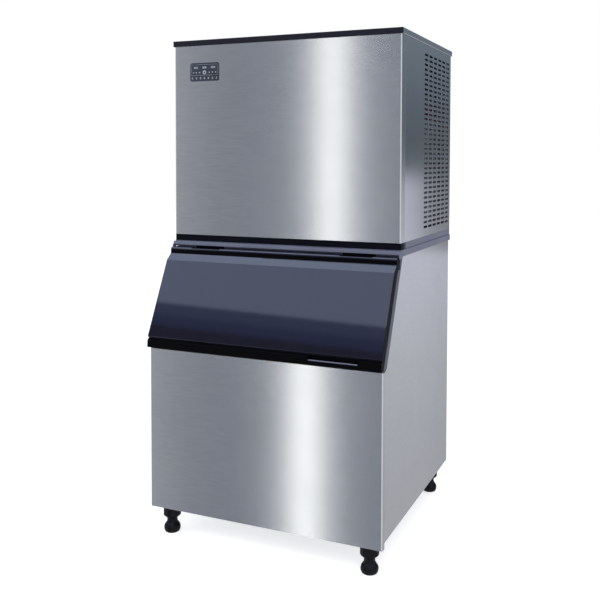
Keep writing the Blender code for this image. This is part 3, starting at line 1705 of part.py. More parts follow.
def build_liquid_line():
    """The line from the condenser through the filter drier to the barrel, soldered in one."""
    high = DRIER_LOW + DRIER_LENGTH
    neck = PIPE_RADIUS * 1.4
    profile = [
        (0, high),
        (neck, high),
        (neck, high - 0.010),
        (DRIER_RADIUS, high - 0.024),
        (DRIER_RADIUS, DRIER_LOW + 0.024),
        (neck, DRIER_LOW + 0.010),
        (neck, DRIER_LOW),
        (0, DRIER_LOW),
    ]
    drier = turned("filter_drier", profile, (DRIER_X, DRIER_Y, 0), "copper", steps=16)
    coil_x = CONDENSER_X + CONDENSER_THICKNESS / 2
    coil_back = CONDENSER_BACK - COIL_TAIL
    upper = pipe(
        "liquid_pipe",
        [
            (coil_x, coil_back, CONDENSER_HIGH + GAP),
            (coil_x, coil_back, PIPE_TOP),
            (DRIER_X, DRIER_Y, PIPE_TOP),
            (DRIER_X, DRIER_Y, high - 0.004),
        ],
        PIPE_RADIUS,
    )
    feed_x = -CHUTE_WIDTH / 2 - 0.005
    feed_z = BARREL_LOW + FEED_RISE
    lower = pipe(
        "feed_pipe",
        [
            (DRIER_X, DRIER_Y, DRIER_LOW + 0.004),
            (DRIER_X, DRIER_Y, PIPE_LOW),
            (feed_x, DRIER_Y, PIPE_LOW),
            (feed_x, DRIER_Y, feed_z),
            (MAKER_X, DRIER_Y, feed_z),
            (MAKER_X, MAKER_AXIS_Y + BARREL_RADIUS + GAP * 2, feed_z),
        ],
        PIPE_RADIUS,
        bend=0.012,
    )
    unite(drier, upper, lower)


def build_pipes():
    """The discharge and suction lines, and the water hose."""
    compressor_y = HEAD_FRONT + COMPRESSOR_Y
    compressor_top = PAN_TOP + GAP + MOUNT_HEIGHT + COMPRESSOR_HEIGHT
    coil_x = CONDENSER_X + CONDENSER_THICKNESS / 2
    coil_front = CONDENSER_FRONT + COIL_TAIL
    pipe(
        "discharge_line",
        [
            (COMPRESSOR_X, compressor_y, compressor_top + GAP),
            (COMPRESSOR_X, compressor_y, PIPE_TOP),
            (coil_x, coil_front, PIPE_TOP),
            (coil_x, coil_front, CONDENSER_HIGH + GAP),
        ],
        PIPE_RADIUS,
        "copper",
    )
    suction_z = BARREL_HIGH - SUCTION_DROP
    suction_x = COMPRESSOR_X - COMPRESSOR_RADIUS - SUCTION_SPACE
    suction_low = compressor_top - SUCTION_INLET_DROP
    pipe(
        "suction_line",
        [
            (MAKER_X, MAKER_AXIS_Y - BARREL_RADIUS - GAP * 2, suction_z),
            (MAKER_X, compressor_y, suction_z),
            (suction_x, compressor_y, suction_z),
            (suction_x, compressor_y, suction_low),
            (COMPRESSOR_X - COMPRESSOR_RADIUS - GAP * 2, compressor_y, suction_low),
        ],
        SUCTION_RADIUS,
        "pipe_foam",
        bend=0.016,
    )
    inlet_y = HEAD_BACK - INLET_DEPTH
    hose_y = inlet_y - HOSE_SPACE
    hose_z = RESERVOIR_TOP + VALVE_HEIGHT + HOSE_RISE
    valve_y = RESERVOIR_FRONT + VALVE_LENGTH / 2
    pipe(
        "water_hose",
        [
            (INLET_X, inlet_y - GAP, INLET_Z),
            (INLET_X, hose_y, INLET_Z),
            (INLET_X, hose_y, hose_z),
            (VALVE_X, hose_y, hose_z),
            (VALVE_X, valve_y, hose_z),
            (VALVE_X, valve_y, RESERVOIR_TOP + VALVE_HEIGHT + GAP * 2),
        ],
        WATER_RADIUS,
        "clear_hose",
    )


def set_joint_origins():
    """Put each moving piece's origin on its joint's axis."""
    hinge = Vector((0, HINGE_Y, HINGE_Z))
    for name in ("door_shell", "door_core", "door_liner", "door_gasket"):
        item = bpy.data.objects[name]
        move_origin(item, hinge)
    move_origin(bpy.data.objects["auger"], Vector((MAKER_X, MAKER_AXIS_Y, BARREL_LOW)))


def move_origin(item, place):
    """Move an object's origin without moving its shape."""
    bpy.context.view_layer.update()
    shift = item.matrix_world.inverted() @ place
    item.data.transform(Matrix.Translation(-shift))
    item.matrix_world = item.matrix_world @ Matrix.Translation(shift)


def build():
    """Model every sub-part of the machine."""
    build_bin_panels()
    build_bin_insulation()
    build_bin_liner()
    build_bin_drain()
    build_bin_top_trim()
    build_door_frame()
    build_hinges()
    build_door_shell()
    build_door_core()
    build_door_liner()
    build_door_gasket()
    build_legs()
    build_base_pan()
    build_posts()
    build_front_panel()
    build_side_panels()
    build_back_panel()
    build_gland()
    build_lid()
    build_base_band()
    build_display()
    build_control_box()
    build_gear_motor()
    build_barrel()
    build_auger()
    build_breaker()
    build_chute()
    build_reservoir()
    build_float_valve()
    build_float_arm()
    build_water_inlet()
    build_compressor()
    build_condenser()
    build_shroud()
    build_fan_motor()
    build_fan()
    build_liquid_line()
    build_pipes()
    set_joint_origins()


clear_scene()
PARTS = new_collection("flake_ice_machine")
CUTTERS = new_collection("cutters")
build()
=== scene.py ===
"""Flake ice machine: its finishes, small fittings, light and camera, over the fixed CAD frame."""

import math

import bmesh
import bpy
from mathutils import Matrix, Vector


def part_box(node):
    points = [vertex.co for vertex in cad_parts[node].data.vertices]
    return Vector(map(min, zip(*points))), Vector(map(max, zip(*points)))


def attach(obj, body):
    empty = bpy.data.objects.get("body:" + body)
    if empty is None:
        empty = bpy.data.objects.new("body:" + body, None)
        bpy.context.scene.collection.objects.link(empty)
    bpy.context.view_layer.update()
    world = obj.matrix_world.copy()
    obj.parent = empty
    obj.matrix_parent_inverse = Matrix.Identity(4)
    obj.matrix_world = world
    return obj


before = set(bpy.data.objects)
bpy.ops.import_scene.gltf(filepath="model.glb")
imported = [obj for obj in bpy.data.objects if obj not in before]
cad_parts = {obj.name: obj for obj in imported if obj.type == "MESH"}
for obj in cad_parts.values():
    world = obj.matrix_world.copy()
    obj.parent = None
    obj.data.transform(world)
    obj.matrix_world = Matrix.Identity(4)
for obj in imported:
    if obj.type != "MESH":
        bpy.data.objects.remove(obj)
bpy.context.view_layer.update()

MM = 0.001

# Fine detail in the finishes: every edge is eased so that it catches the light as a real one
# does. Real brushing is about 0.1 mm wide, and 0.8 mm is the finest that shows here. Its
# scratches run 60 times as long.
EDGE_EASE = 0.7 * MM
BEVEL_RAYS = {"samples": 4}
BRUSHING_MM = 0.8
BRUSHING_RUN = 60

# The door's two hinge slots, from the middle of each to the door's side, and their width.
HINGE_INSET = 126 * MM
HINGE_SLOT = 103 * MM

# The studio as the machine mirrors it. A rise is a reflection's height over its distance ahead,
# a height is the sine of the angle that it looks up, and a turn is in degrees. The distance
# counts as no less than LEAST_DISTANCE ahead, and SIDE_DISTANCE to the sides and behind.
CEILING_RISE = 0.807
CEILING_TILT = 0.03
WALLS_FADE = (0.55, 0.72)
GAP_SPAN = (0.75, 0.81)
SIDE_DISTANCE = 0.65
LEAST_DISTANCE = 0.05
HEAD_TURN = 1.9
FLOOR_GLOW_TOP = -0.018
FAR_FLOOR_GLOW = (-0.100, -0.115)
DARK_WALL_TURN = 15.8

# The camera: a plain perspective view, from the right of the front and above the middle.
CAMERA_PLACE = (1.077, -2.477, 1.161)
CAMERA_YAW = 0.4098
CAMERA_PITCH = -0.0381
CAMERA_ROLL = 0.0024
CAMERA_LENS = 49.28
CAMERA_SHIFT = (-0.0162, -0.1799)


# Colour and node helpers.


def linear(code):
    """An sRGB hex colour as linear red, green, blue and alpha."""
    channels = [int(code[start : start + 2], 16) / 255 for start in (1, 3, 5)]
    curve = [c / 12.92 if c <= 0.04045 else ((c + 0.055) / 1.055) ** 2.4 for c in channels]
    return (*curve, 1.0)


def add(tree, kind, settings=None, stops=None, **inputs):
    """A node with its settings, ramp stops (position, hex) and inputs, by name or number."""
    node = tree.nodes.new(kind)
    for key, value in (settings or {}).items():
        setattr(node, key, value)
    for index, (position, code) in enumerate(stops or ()):
        if index >= len(node.color_ramp.elements):
            node.color_ramp.elements.new(position)
        node.color_ramp.elements[index].position = position
        node.color_ramp.elements[index].color = linear(code)
    for key, value in inputs.items():
        socket = node.inputs[int(key[3:]) if key.startswith("in_") else key.replace("_", " ")]
        if isinstance(value, bpy.types.NodeSocket):
            tree.links.new(value, socket)
        else:
            socket.default_value = value
    return node


def new_finish(name):
    """An empty material and its tree."""
    finish = bpy.data.materials.new(name)
    finish.use_nodes = True
    finish.node_tree.nodes.clear()
    return finish, finish.node_tree


def cloud(tree, size_mm, stretch=(1, 1, 1), detail=3.0, roughness=0.5):
    """Uneven marks about size_mm wide on the object, drawn out along a stretched axis."""
    place = add(tree, "ShaderNodeTexCoord")
    scale = tuple(1 / (size_mm * MM * length) for length in stretch)
    sized = add(tree, "ShaderNodeMapping", Vector=place.outputs["Object"], Scale=scale)
    return add(tree, "ShaderNodeTexNoise", Vector=sized.outputs["Vector"], Scale=1.0,
               Detail=detail, Roughness=roughness)


# Finishes. Each is made as its real material is, and its text says what that gives the eye.


def brushed_stainless(name, stretch, gloss):
    """Brushed 304 stainless: fine straight grain that draws reflections out into soft bands."""
    finish, tree = new_finish(name)
    grain = cloud(tree, BRUSHING_MM, stretch, detail=4.0, roughness=0.65)
    wash = cloud(tree, 160, detail=2.0)
    mixed = add(tree, "ShaderNodeMath", {"operation": "MULTIPLY_ADD"}, in_0=wash.outputs["Fac"],
                in_1=0.25, in_2=grain.outputs["Fac"])
    colour = add(tree, "ShaderNodeValToRGB", stops=((0.45, "#c6c8cb"), (0.80, "#d2d4d6")),
                 Fac=mixed.outputs[0])
    rough = add(tree, "ShaderNodeMapRange", Value=grain.outputs["Fac"], To_Min=gloss - 0.03,
                To_Max=gloss + 0.05)
    edge = add(tree, "ShaderNodeBevel", BEVEL_RAYS, Radius=EDGE_EASE)
    dent = add(tree, "ShaderNodeBump", Height=grain.outputs["Fac"], Strength=0.012,
               Distance=0.2 * MM, Normal=edge.outputs["Normal"])
    steel = add(tree, "ShaderNodeBsdfPrincipled", Base_Color=colour.outputs["Color"],
                Metallic=1.0, Roughness=rough.outputs["Result"], Normal=dent.outputs["Normal"])
    add(tree, "ShaderNodeOutputMaterial", Surface=steel.outputs[0])
    return finish


def galvanised_sheet():
    """Hot-dip galvanised sheet: dull grey crystals about 8 mm across."""
    finish, tree = new_finish("hot_dip_galvanised_sheet")
    place = add(tree, "ShaderNodeTexCoord")
    sized = add(tree, "ShaderNodeMapping", Vector=place.outputs["Object"],
                Scale=(1 / (8 * MM),) * 3)
    spangle = add(tree, "ShaderNodeTexVoronoi", Vector=sized.outputs["Vector"], Scale=1.0)
    colour = add(tree, "ShaderNodeValToRGB", stops=((0.0, "#999da2"), (1.0, "#b9bdc1")),
                 Fac=spangle.outputs["Color"])
    rough = add(tree, "ShaderNodeMapRange", Value=spangle.outputs["Color"], To_Min=0.38,
                To_Max=0.55)
    edge = add(tree, "ShaderNodeBevel", BEVEL_RAYS, Radius=EDGE_EASE)
    zinc = add(tree, "ShaderNodeBsdfPrincipled", Base_Color=colour.outputs["Color"],
               Metallic=0.85, Roughness=rough.outputs["Result"], Normal=edge.outputs["Normal"])
    add(tree, "ShaderNodeOutputMaterial", Surface=zinc.outputs[0])
    return finish


def moulded(name, pale, deep, roughness, depth=0.10, specular=0.5, clear=0.0):
    """Injection-moulded plastic: a faint cloud in the colour under fine spark-eroded grit."""
    finish, tree = new_finish(name)
    tint = cloud(tree, 90, detail=2.0)
    grit = cloud(tree, 0.7, detail=2.0)
    colour = add(tree, "ShaderNodeValToRGB", stops=((0.3, deep), (0.7, pale)),
                 Fac=tint.outputs["Fac"])
    rough = add(tree, "ShaderNodeMapRange", Value=grit.outputs["Fac"],
                To_Min=roughness - 0.04, To_Max=roughness + 0.06)
    edge = add(tree, "ShaderNodeBevel", BEVEL_RAYS, Radius=EDGE_EASE)
    dent = add(tree, "ShaderNodeBump", Height=grit.outputs["Fac"], Strength=depth,
               Distance=0.3 * MM, Normal=edge.outputs["Normal"])
    plastic = add(tree, "ShaderNodeBsdfPrincipled", Base_Color=colour.outputs["Color"],
                  Roughness=rough.outputs["Result"], Specular_IOR_Level=specular,
                  Transmission_Weight=clear, Normal=dent.outputs["Normal"])
    add(tree, "ShaderNodeOutputMaterial", Surface=plastic.outputs[0])
    return finish


def plain_metal(name, pale, deep, roughness):
    """Plain metal with slight tarnish and handling marks."""
    finish, tree = new_finish(name)
    tarnish = cloud(tree, 24)
    marks = cloud(tree, 3)
    colour = add(tree, "ShaderNodeValToRGB", stops=((0.35, deep), (0.65, pale)),
                 Fac=tarnish.outputs["Fac"])
    rough = add(tree, "ShaderNodeMapRange", Value=marks.outputs["Fac"],
                To_Min=roughness - 0.05, To_Max=roughness + 0.08)
    edge = add(tree, "ShaderNodeBevel", BEVEL_RAYS, Radius=EDGE_EASE)
    metal = add(tree, "ShaderNodeBsdfPrincipled", Base_Color=colour.outputs["Color"],
                Metallic=1.0, Roughness=rough.outputs["Result"], Normal=edge.outputs["Normal"])
    add(tree, "ShaderNodeOutputMaterial", Surface=metal.outputs[0])
    return finish


def rigid_foam():
    """Poured polyurethane foam: pale tan with small broken cells."""
    finish, tree = new_finish("poured_polyurethane_foam")
    cells = cloud(tree, 2.5, detail=4.0, roughness=0.7)
    colour = add(tree, "ShaderNodeValToRGB", stops=((0.3, "#c9b98b"), (0.7, "#e2d6ae")),
                 Fac=cells.outputs["Fac"])
    dent = add(tree, "ShaderNodeBump", Height=cells.outputs["Fac"], Strength=0.5,
               Distance=1 * MM)
    foam = add(tree, "ShaderNodeBsdfPrincipled", Base_Color=colour.outputs["Color"],
               Roughness=0.9, Normal=dent.outputs["Normal"])
    add(tree, "ShaderNodeOutputMaterial", Surface=foam.outputs[0])
    return finish


def lid_with_black_front():
    """Brushed stainless lid whose front edge is a strip of satin black moulding."""
    finish, tree = new_finish("brushed_stainless_with_black_edge")
    strip_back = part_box("head_lid")[0].y + 3 * MM
    place = add(tree, "ShaderNodeTexCoord")
    parts = add(tree, "ShaderNodeSeparateXYZ", Vector=place.outputs["Object"])
    behind = add(tree, "ShaderNodeMath", {"operation": "GREATER_THAN"}, in_0=parts.outputs["Y"],
                 in_1=strip_back)
    grain = cloud(tree, BRUSHING_MM, (BRUSHING_RUN, BRUSHING_RUN, 1), detail=4.0, roughness=0.65)
    edge = add(tree, "ShaderNodeBevel", BEVEL_RAYS, Radius=EDGE_EASE)
    steel_colour = add(tree, "ShaderNodeValToRGB", stops=((0.3, "#c4c6ca"), (0.7, "#d1d3d6")),
                       Fac=grain.outputs["Fac"])
    steel = add(tree, "ShaderNodeBsdfPrincipled", Base_Color=steel_colour.outputs["Color"],
                Metallic=1.0, Roughness=0.22, Normal=edge.outputs["Normal"])
    black_colour = add(tree, "ShaderNodeValToRGB", stops=((0.3, "#11111b"), (0.7, "#171722")),
                       Fac=grain.outputs["Fac"])
    black = add(tree, "ShaderNodeBsdfPrincipled", Base_Color=black_colour.outputs["Color"],
                Roughness=0.45, Specular_IOR_Level=0.25, Normal=edge.outputs["Normal"])
    lid = add(tree, "ShaderNodeMixShader", Fac=behind.outputs[0], in_1=black.outputs[0],
              in_2=steel.outputs[0])
    add(tree, "ShaderNodeOutputMaterial", Surface=lid.outputs[0])
    return finish


def polished_parts(tree):
    """1 on the door's polished slope and top, 0 on its band, lip and sides, and 0 on the top over
    the hinge slots, where satin black is painted shade.
    """
    low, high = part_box("door_shell")
    band_top = low.z + 28 * MM
    lip_low, lip_high = high.z - 20 * MM, high.z - 6.5 * MM
    place = add(tree, "ShaderNodeTexCoord")
    parts = add(tree, "ShaderNodeSeparateXYZ", Vector=place.outputs["Object"])
    over_band = add(tree, "ShaderNodeMath", {"operation": "GREATER_THAN"},
                    in_0=parts.outputs["Z"], in_1=band_top)
    on_lip = add(tree, "ShaderNodeMath", {"operation": "COMPARE"}, in_0=parts.outputs["Z"],
                 in_1=(lip_low + lip_high) / 2, in_2=(lip_high - lip_low) / 2)
    off_lip = add(tree, "ShaderNodeMath", {"operation": "SUBTRACT", "use_clamp": True},
                  in_0=over_band.outputs[0], in_1=on_lip.outputs[0])
    across = add(tree, "ShaderNodeMath", {"operation": "ABSOLUTE"}, in_0=parts.outputs["X"])
    at_hinge = add(tree, "ShaderNodeMath", {"operation": "COMPARE"}, in_0=across.outputs[0],
                   in_1=high.x - HINGE_INSET, in_2=HINGE_SLOT / 2 - 0.5 * MM)
    at_top = add(tree, "ShaderNodeMath", {"operation": "GREATER_THAN"}, in_0=parts.outputs["Z"],
                 in_1=high.z - 2.5 * MM)
    # Painted shade: over each hinge slot the top of the door is made satin black to stand in for
    # the slot's shadow.
    slot_shade = add(tree, "ShaderNodeMath", {"operation": "MULTIPLY"}, in_0=at_hinge.outputs[0],
                  in_1=at_top.outputs[0])
    polished_unshaded = add(tree, "ShaderNodeMath", {"operation": "SUBTRACT", "use_clamp": True},
                   in_0=off_lip.outputs[0], in_1=slot_shade.outputs[0])
    inside_sides = add(tree, "ShaderNodeMath", {"operation": "COMPARE"},
                       in_0=parts.outputs["X"], in_1=0.0, in_2=high.x - 0.6 * MM)
    return add(tree, "ShaderNodeMath", {"operation": "MULTIPLY"}, in_0=polished_unshaded.outputs[0],
               in_1=inside_sides.outputs[0])


def polished_door():
    """Formed black polystyrene: the slope and top mirror the studio, the rest is satin, and the
    top over the hinge slots is satin black as painted shade.
    """
    finish, tree = new_finish("formed_black_polystyrene")
    tint = cloud(tree, 120, detail=2.0)
    wave = cloud(tree, 60, detail=1.0)
    grit = cloud(tree, 0.7, detail=2.0)
    edge = add(tree, "ShaderNodeBevel", BEVEL_RAYS, Radius=EDGE_EASE)
    polished_colour = add(tree, "ShaderNodeValToRGB", stops=((0.3, "#0f0f20"), (0.7, "#131325")),
                          Fac=tint.outputs["Fac"])
    sink = add(tree, "ShaderNodeBump", Height=wave.outputs["Fac"], Strength=0.02,
               Distance=1 * MM, Normal=edge.outputs["Normal"])
    polished = add(tree, "ShaderNodeBsdfPrincipled", Base_Color=polished_colour.outputs["Color"],
                   Roughness=0.03, IOR=1.6, Normal=sink.outputs["Normal"])
    satin_colour = add(tree, "ShaderNodeValToRGB", stops=((0.3, "#060608"), (0.7, "#09090c")),
                       Fac=tint.outputs["Fac"])
    dent = add(tree, "ShaderNodeBump", Height=grit.outputs["Fac"], Strength=0.1,
               Distance=0.2 * MM, Normal=edge.outputs["Normal"])
    satin = add(tree, "ShaderNodeBsdfPrincipled", Base_Color=satin_colour.outputs["Color"],
                Roughness=0.42, Specular_IOR_Level=0.03, Normal=dent.outputs["Normal"])
    door = add(tree, "ShaderNodeMixShader", Fac=polished_parts(tree).outputs[0],
               in_1=satin.outputs[0], in_2=polished.outputs[0])
    add(tree, "ShaderNodeOutputMaterial", Surface=door.outputs[0])
    return finish


# The fronts are brushed from side to side, so lamps and walls show in them as upright bands.
STEEL_FRONT = brushed_stainless("brushed_stainless_front", (BRUSHING_RUN, 1, 1), 0.20)
# The sides are brushed from front to back and a little finer, so they mirror more clearly.
STEEL_SIDE = brushed_stainless("brushed_stainless_side", (1, BRUSHING_RUN, 1), 0.10)
GALVANISED = galvanised_sheet()
LID = lid_with_black_front()
DOOR_BLACK = polished_door()
FOAM = rigid_foam()
# Moulded ABS: satin black that hardly shines, and two greys with a soft sheen.
BAND_BLACK = moulded("moulded_black_abs", "#0a0b15", "#080911", 0.45, specular=0.06)
TRIM_GREY = moulded("moulded_grey_abs", "#6e7386", "#686d80", 0.34, depth=0.06)
FRAME_GREY = moulded("moulded_dark_grey_abs", "#474c5c", "#3f4453", 0.35)
# The display: smooth dark polycarbonate film, printed with matt pale ink.
DISPLAY_FILM = moulded("extruded_polycarbonate_film", "#333a45", "#2c323c", 0.22, depth=0.02)
MARK_INK = moulded("screen_printed_ink", "#b9bfc8", "#a9afb9", 0.45, depth=0.02)
# Waxy white food-grade liner.
WHITE_LINER = moulded("formed_white_polyethylene", "#e6e8ea", "#dadddf", 0.38)
# Dull black seal, and harder black legs with a faint shine.
RUBBER = moulded("extruded_seal_rubber", "#1c1c1d", "#141415", 0.65)
LEG_NYLON = moulded("moulded_black_nylon", "#0e0f13", "#090a0d", 0.34, specular=0.15)
# Bright bluish plating, grainy grey casting, thin pale fins and warm drawn pipe.
ZINC = plain_metal("zinc_plated_steel", "#c3c6cb", "#b2b5ba", 0.32)
CASTING = plain_metal("cast_aluminium", "#b4b6b9", "#a2a4a8", 0.48)
FINS = plain_metal("rolled_aluminium", "#d0d3d6", "#bfc2c5", 0.34)
COPPER = plain_metal("drawn_copper", "#c9794b", "#a8603a", 0.30)
# Black sprayed enamel on the motors, rough matt lagging and a cloudy clear hose.
ENAMEL = moulded("sprayed_black_enamel", "#23262b", "#1a1c20", 0.40)
LAGGING = moulded("foamed_rubber_lagging", "#222224", "#18181a", 0.80, depth=0.3)
HOSE = moulded("extruded_clear_pvc", "#dfe3e6", "#cfd4d8", 0.28, clear=0.4)

CORNERS = ("front_left", "front_right", "back_left", "back_right")
NODES_OF = {
    STEEL_FRONT: ("bin_front_panel", "head_front_panel"),
    STEEL_SIDE: (
        "bin_side_panel_left",
        "bin_side_panel_right",
        "head_side_panel_left",
        "head_side_panel_right",
    ),
    GALVANISED: (
        "bin_back_panel",
        "bin_base_panel",
        "head_base_pan",
        "head_back_panel",
        "control_box",
        "fan_shroud",
        *(f"head_post_{corner}" for corner in CORNERS),
    ),
    LID: ("head_lid",),
    DOOR_BLACK: ("door_shell",),
    BAND_BLACK: ("head_base_band", "hinge_bracket_left", "hinge_bracket_right"),
    TRIM_GREY: ("bin_top_trim", "head_side_rail_left", "head_side_rail_right"),
    FRAME_GREY: ("bin_door_frame",),
    DISPLAY_FILM: ("display_panel",),
    WHITE_LINER: (
        "bin_liner",
        "bin_drain",
        "door_liner",
        "ice_chute",
        "water_reservoir",
        "float_valve",
    ),
    FOAM: ("bin_insulation", "door_core"),
    RUBBER: ("door_gasket",),
    LEG_NYLON: (
        "cable_gland",
        *(f"leg_sleeve_{corner}" for corner in CORNERS),
        *(f"foot_{corner}" for corner in CORNERS),
    ),
    ZINC: ("hinge_pin_left", "hinge_pin_right", "auger"),
    CASTING: ("ice_breaker_head", "water_inlet_fitting"),
    ENAMEL: ("gear_motor", "compressor", "fan_motor", "fan_blade"),
    COPPER: ("filter_drier", "discharge_line"),
    LAGGING: ("evaporator_barrel", "suction_line"),
    FINS: ("condenser_coil",),
    HOSE: ("float_arm", "water_hose"),
}


def paint(piece, finish):
    """Give a piece one finish all over."""
    piece.data.materials.clear()
    piece.data.materials.append(finish)


def dress_nodes():
    """Every node of the frame gets its finish."""
    for finish, names in NODES_OF.items():
        for name in names:
            paint(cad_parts[name], finish)


# New pieces.


def finished(name, work, finish, body):
    """A bmesh as a named piece that rides on a body."""
    bmesh.ops.recalc_face_normals(work, faces=work.faces)
    mesh = bpy.data.meshes.new(name)
    work.to_mesh(mesh)
    work.free()
    piece = bpy.data.objects.new(name, mesh)
    bpy.context.scene.collection.objects.link(piece)
    paint(piece, finish)
    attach(piece, body)


def add_block(work, middle, size):
    """A block round a middle point."""
    place = Matrix.Translation(middle) @ Matrix.Diagonal((*size, 1))
    bmesh.ops.create_cube(work, size=1, matrix=place)


def display_marks():
    """Printed marks on the display: three readouts, a row of lamps round a ring, a row of keys."""
    low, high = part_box("display_panel")
    width, height = high.x - low.x, high.z - low.z
    ink = 0.15 * MM
    line_gap, frame_line = 2.2 * MM, 0.5 * MM
    readout_drop, lamp_drop, key_drop = 0.26, 0.53, 0.84
    frame_inset, frame_top, frame_foot = 0.05, 0.10, 0.68
    frame_drop = (frame_top + frame_foot) / 2
    keys = [0.08 + 0.14 * index for index in range(7)]
    facing = Matrix.Rotation(math.pi / 2, 4, "X")

    def spot(across, drop, layer=0):
        """A place on the film, by shares of its width and height, in a layer of ink."""
        film = low.y - ink * (layer + 0.5)
        return Vector((low.x + width * across, film, high.z - height * drop))

    def disc(work, radius, layer):
        """The round key in the middle, in a layer of ink."""
        place = Matrix.Translation(spot(0.5, lamp_drop, layer)) @ facing
        bmesh.ops.create_cone(work, cap_ends=True, segments=32, radius1=radius, radius2=radius,
                              depth=ink, matrix=place)

    work = bmesh.new()
    for across in (0.20, 0.50, 0.80):
        for line in (-1, 0, 1):
            place = spot(across, readout_drop) + Vector((0, 0, line * line_gap))
            add_block(work, place, (15 * MM, ink, 1.1 * MM))
    for across in (0.12, 0.22, 0.33, 0.67, 0.78, 0.89):
        add_block(work, spot(across, lamp_drop), (3.2 * MM, ink, 3.2 * MM))
    disc(work, 6 * MM, 0)
    for across in keys:
        add_block(work, spot(across, key_drop), (4.2 * MM, ink, 5.5 * MM))
    for drop in (frame_top, frame_foot):
        add_block(work, spot(0.5, drop), (width * (1 - 2 * frame_inset), ink, frame_line))
    for across in (frame_inset, 1 - frame_inset):
        size = (frame_line, ink, height * (frame_foot - frame_top))
        add_block(work, spot(across, frame_drop), size)
    finished("display_marks", work, MARK_INK, "cabinet")
    work = bmesh.new()
    disc(work, 3.4 * MM, 1)
    for across in keys:
        add_block(work, spot(across, key_drop, 1), (2.2 * MM, ink, 3.0 * MM))
    finished("display_key_centres", work, DISPLAY_FILM, "cabinet")


def ease_edges(work, radius):
    """Round a moulding's edges a little."""
    bmesh.ops.bevel(work, geom=work.edges[:], offset=radius, offset_type="OFFSET", segments=2,
                    profile=0.5, affect="EDGES", material=-1)


def rim_nose():
    """The moulded nose of the rim that stands out over the hinges, closed beside the lip."""
    door_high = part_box("door_shell")[1]
    rim_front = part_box("bin_top_trim")[0].y
    depth, overhang = 11 * MM, 4.5 * MM
    underside, top = 890 * MM, 901 * MM
    end_depth, end_low, end_high, door_gap = 17 * MM, 879 * MM, 893 * MM, 0.9 * MM
    work = bmesh.new()
    add_block(work, (0, rim_front - depth / 2, (underside + top) / 2),
              (2 * (door_high.x + overhang), depth, top - underside))
    for side in (-1, 1):
        middle = side * (door_high.x + (door_gap + overhang) / 2)
        add_block(work, (middle, rim_front - end_depth / 2, (end_low + end_high) / 2),
                  (overhang - door_gap, end_depth, end_high - end_low))
    ease_edges(work, 1.2 * MM)
    finished("rim_nose", work, TRIM_GREY, "cabinet")


def painted_hinge_shadows():
    """Black sheets on the frame behind the door's two hinge slots: painted shadow where the slots
    show only shade.
    """
    door_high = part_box("door_shell")[1]
    rim_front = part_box("bin_top_trim")[0].y
    middle_height, height, thickness, stand_off = 882 * MM, 15 * MM, 0.6 * MM, 0.5 * MM
    # Painted shadow: thin black sheets stand where the hinge slots show only shade.
    work = bmesh.new()
    for side in (-1, 1):
        place = (side * (door_high.x - HINGE_INSET), rim_front - stand_off, middle_height)
        add_block(work, place, (HINGE_SLOT, thickness, height))
    finished("painted_hinge_shadows", work, BAND_BLACK, "cabinet")


def handle_highlight():
    """A grey strip along the finger pocket's front edge: a painted highlight where the edge
    catches the light.
    """
    door_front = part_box("door_shell")[0].y
    left, right, top = 161.5 * MM, 308.5 * MM, 602.6 * MM
    depth, height, inset = 3.6 * MM, 3 * MM, 1.6 * MM
    # Painted highlight: a pale grey strip stands for the light that the pocket's edge catches.
    work = bmesh.new()
    add_block(work, ((left + right) / 2, door_front + inset, top - height / 2),
              (right - left, depth, height))
    ease_edges(work, 0.6 * MM)
    finished("painted_handle_edge_highlight", work, TRIM_GREY, "door")


def add_screw(work, at):
    """A pan-head screw, its cross drawn by two thin bars, at a place that faces outwards."""
    head, long, narrow, thin = 1.8 * MM, 3.6 * MM, 0.9 * MM, 0.3 * MM
    bmesh.ops.create_cone(work, cap_ends=True, segments=20, radius1=4 * MM, radius2=3.4 * MM,
                          depth=head, matrix=at @ Matrix.Translation((0, 0, head / 2)))
    for size in ((long, narrow, thin), (narrow, long, thin)):
        bar = Matrix.Translation((0, 0, head)) @ Matrix.Diagonal((*size, 1))
        bmesh.ops.create_cube(work, size=1, matrix=at @ bar)


def back_screws():
    """The screws that hold both back panels, four down each edge."""
    rows, side_inset, foot_inset, top_inset = 4, 12 * MM, 25 * MM, 35 * MM
    facing_back = Vector((0, 0, 1)).rotation_difference(Vector((0, 1, 0))).to_matrix().to_4x4()
    work = bmesh.new()
    for node in ("head_back_panel", "bin_back_panel"):
        low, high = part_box(node)
        span = high.z - low.z - foot_inset - top_inset
        for row in range(rows):
            height = low.z + foot_inset + span * row / (rows - 1)
            for across in (low.x + side_inset, high.x - side_inset):
                add_screw(work, Matrix.Translation((across, high.y, height)) @ facing_back)
    finished("back_panel_screws", work, ZINC, "cabinet")


# Light, backdrop and camera.


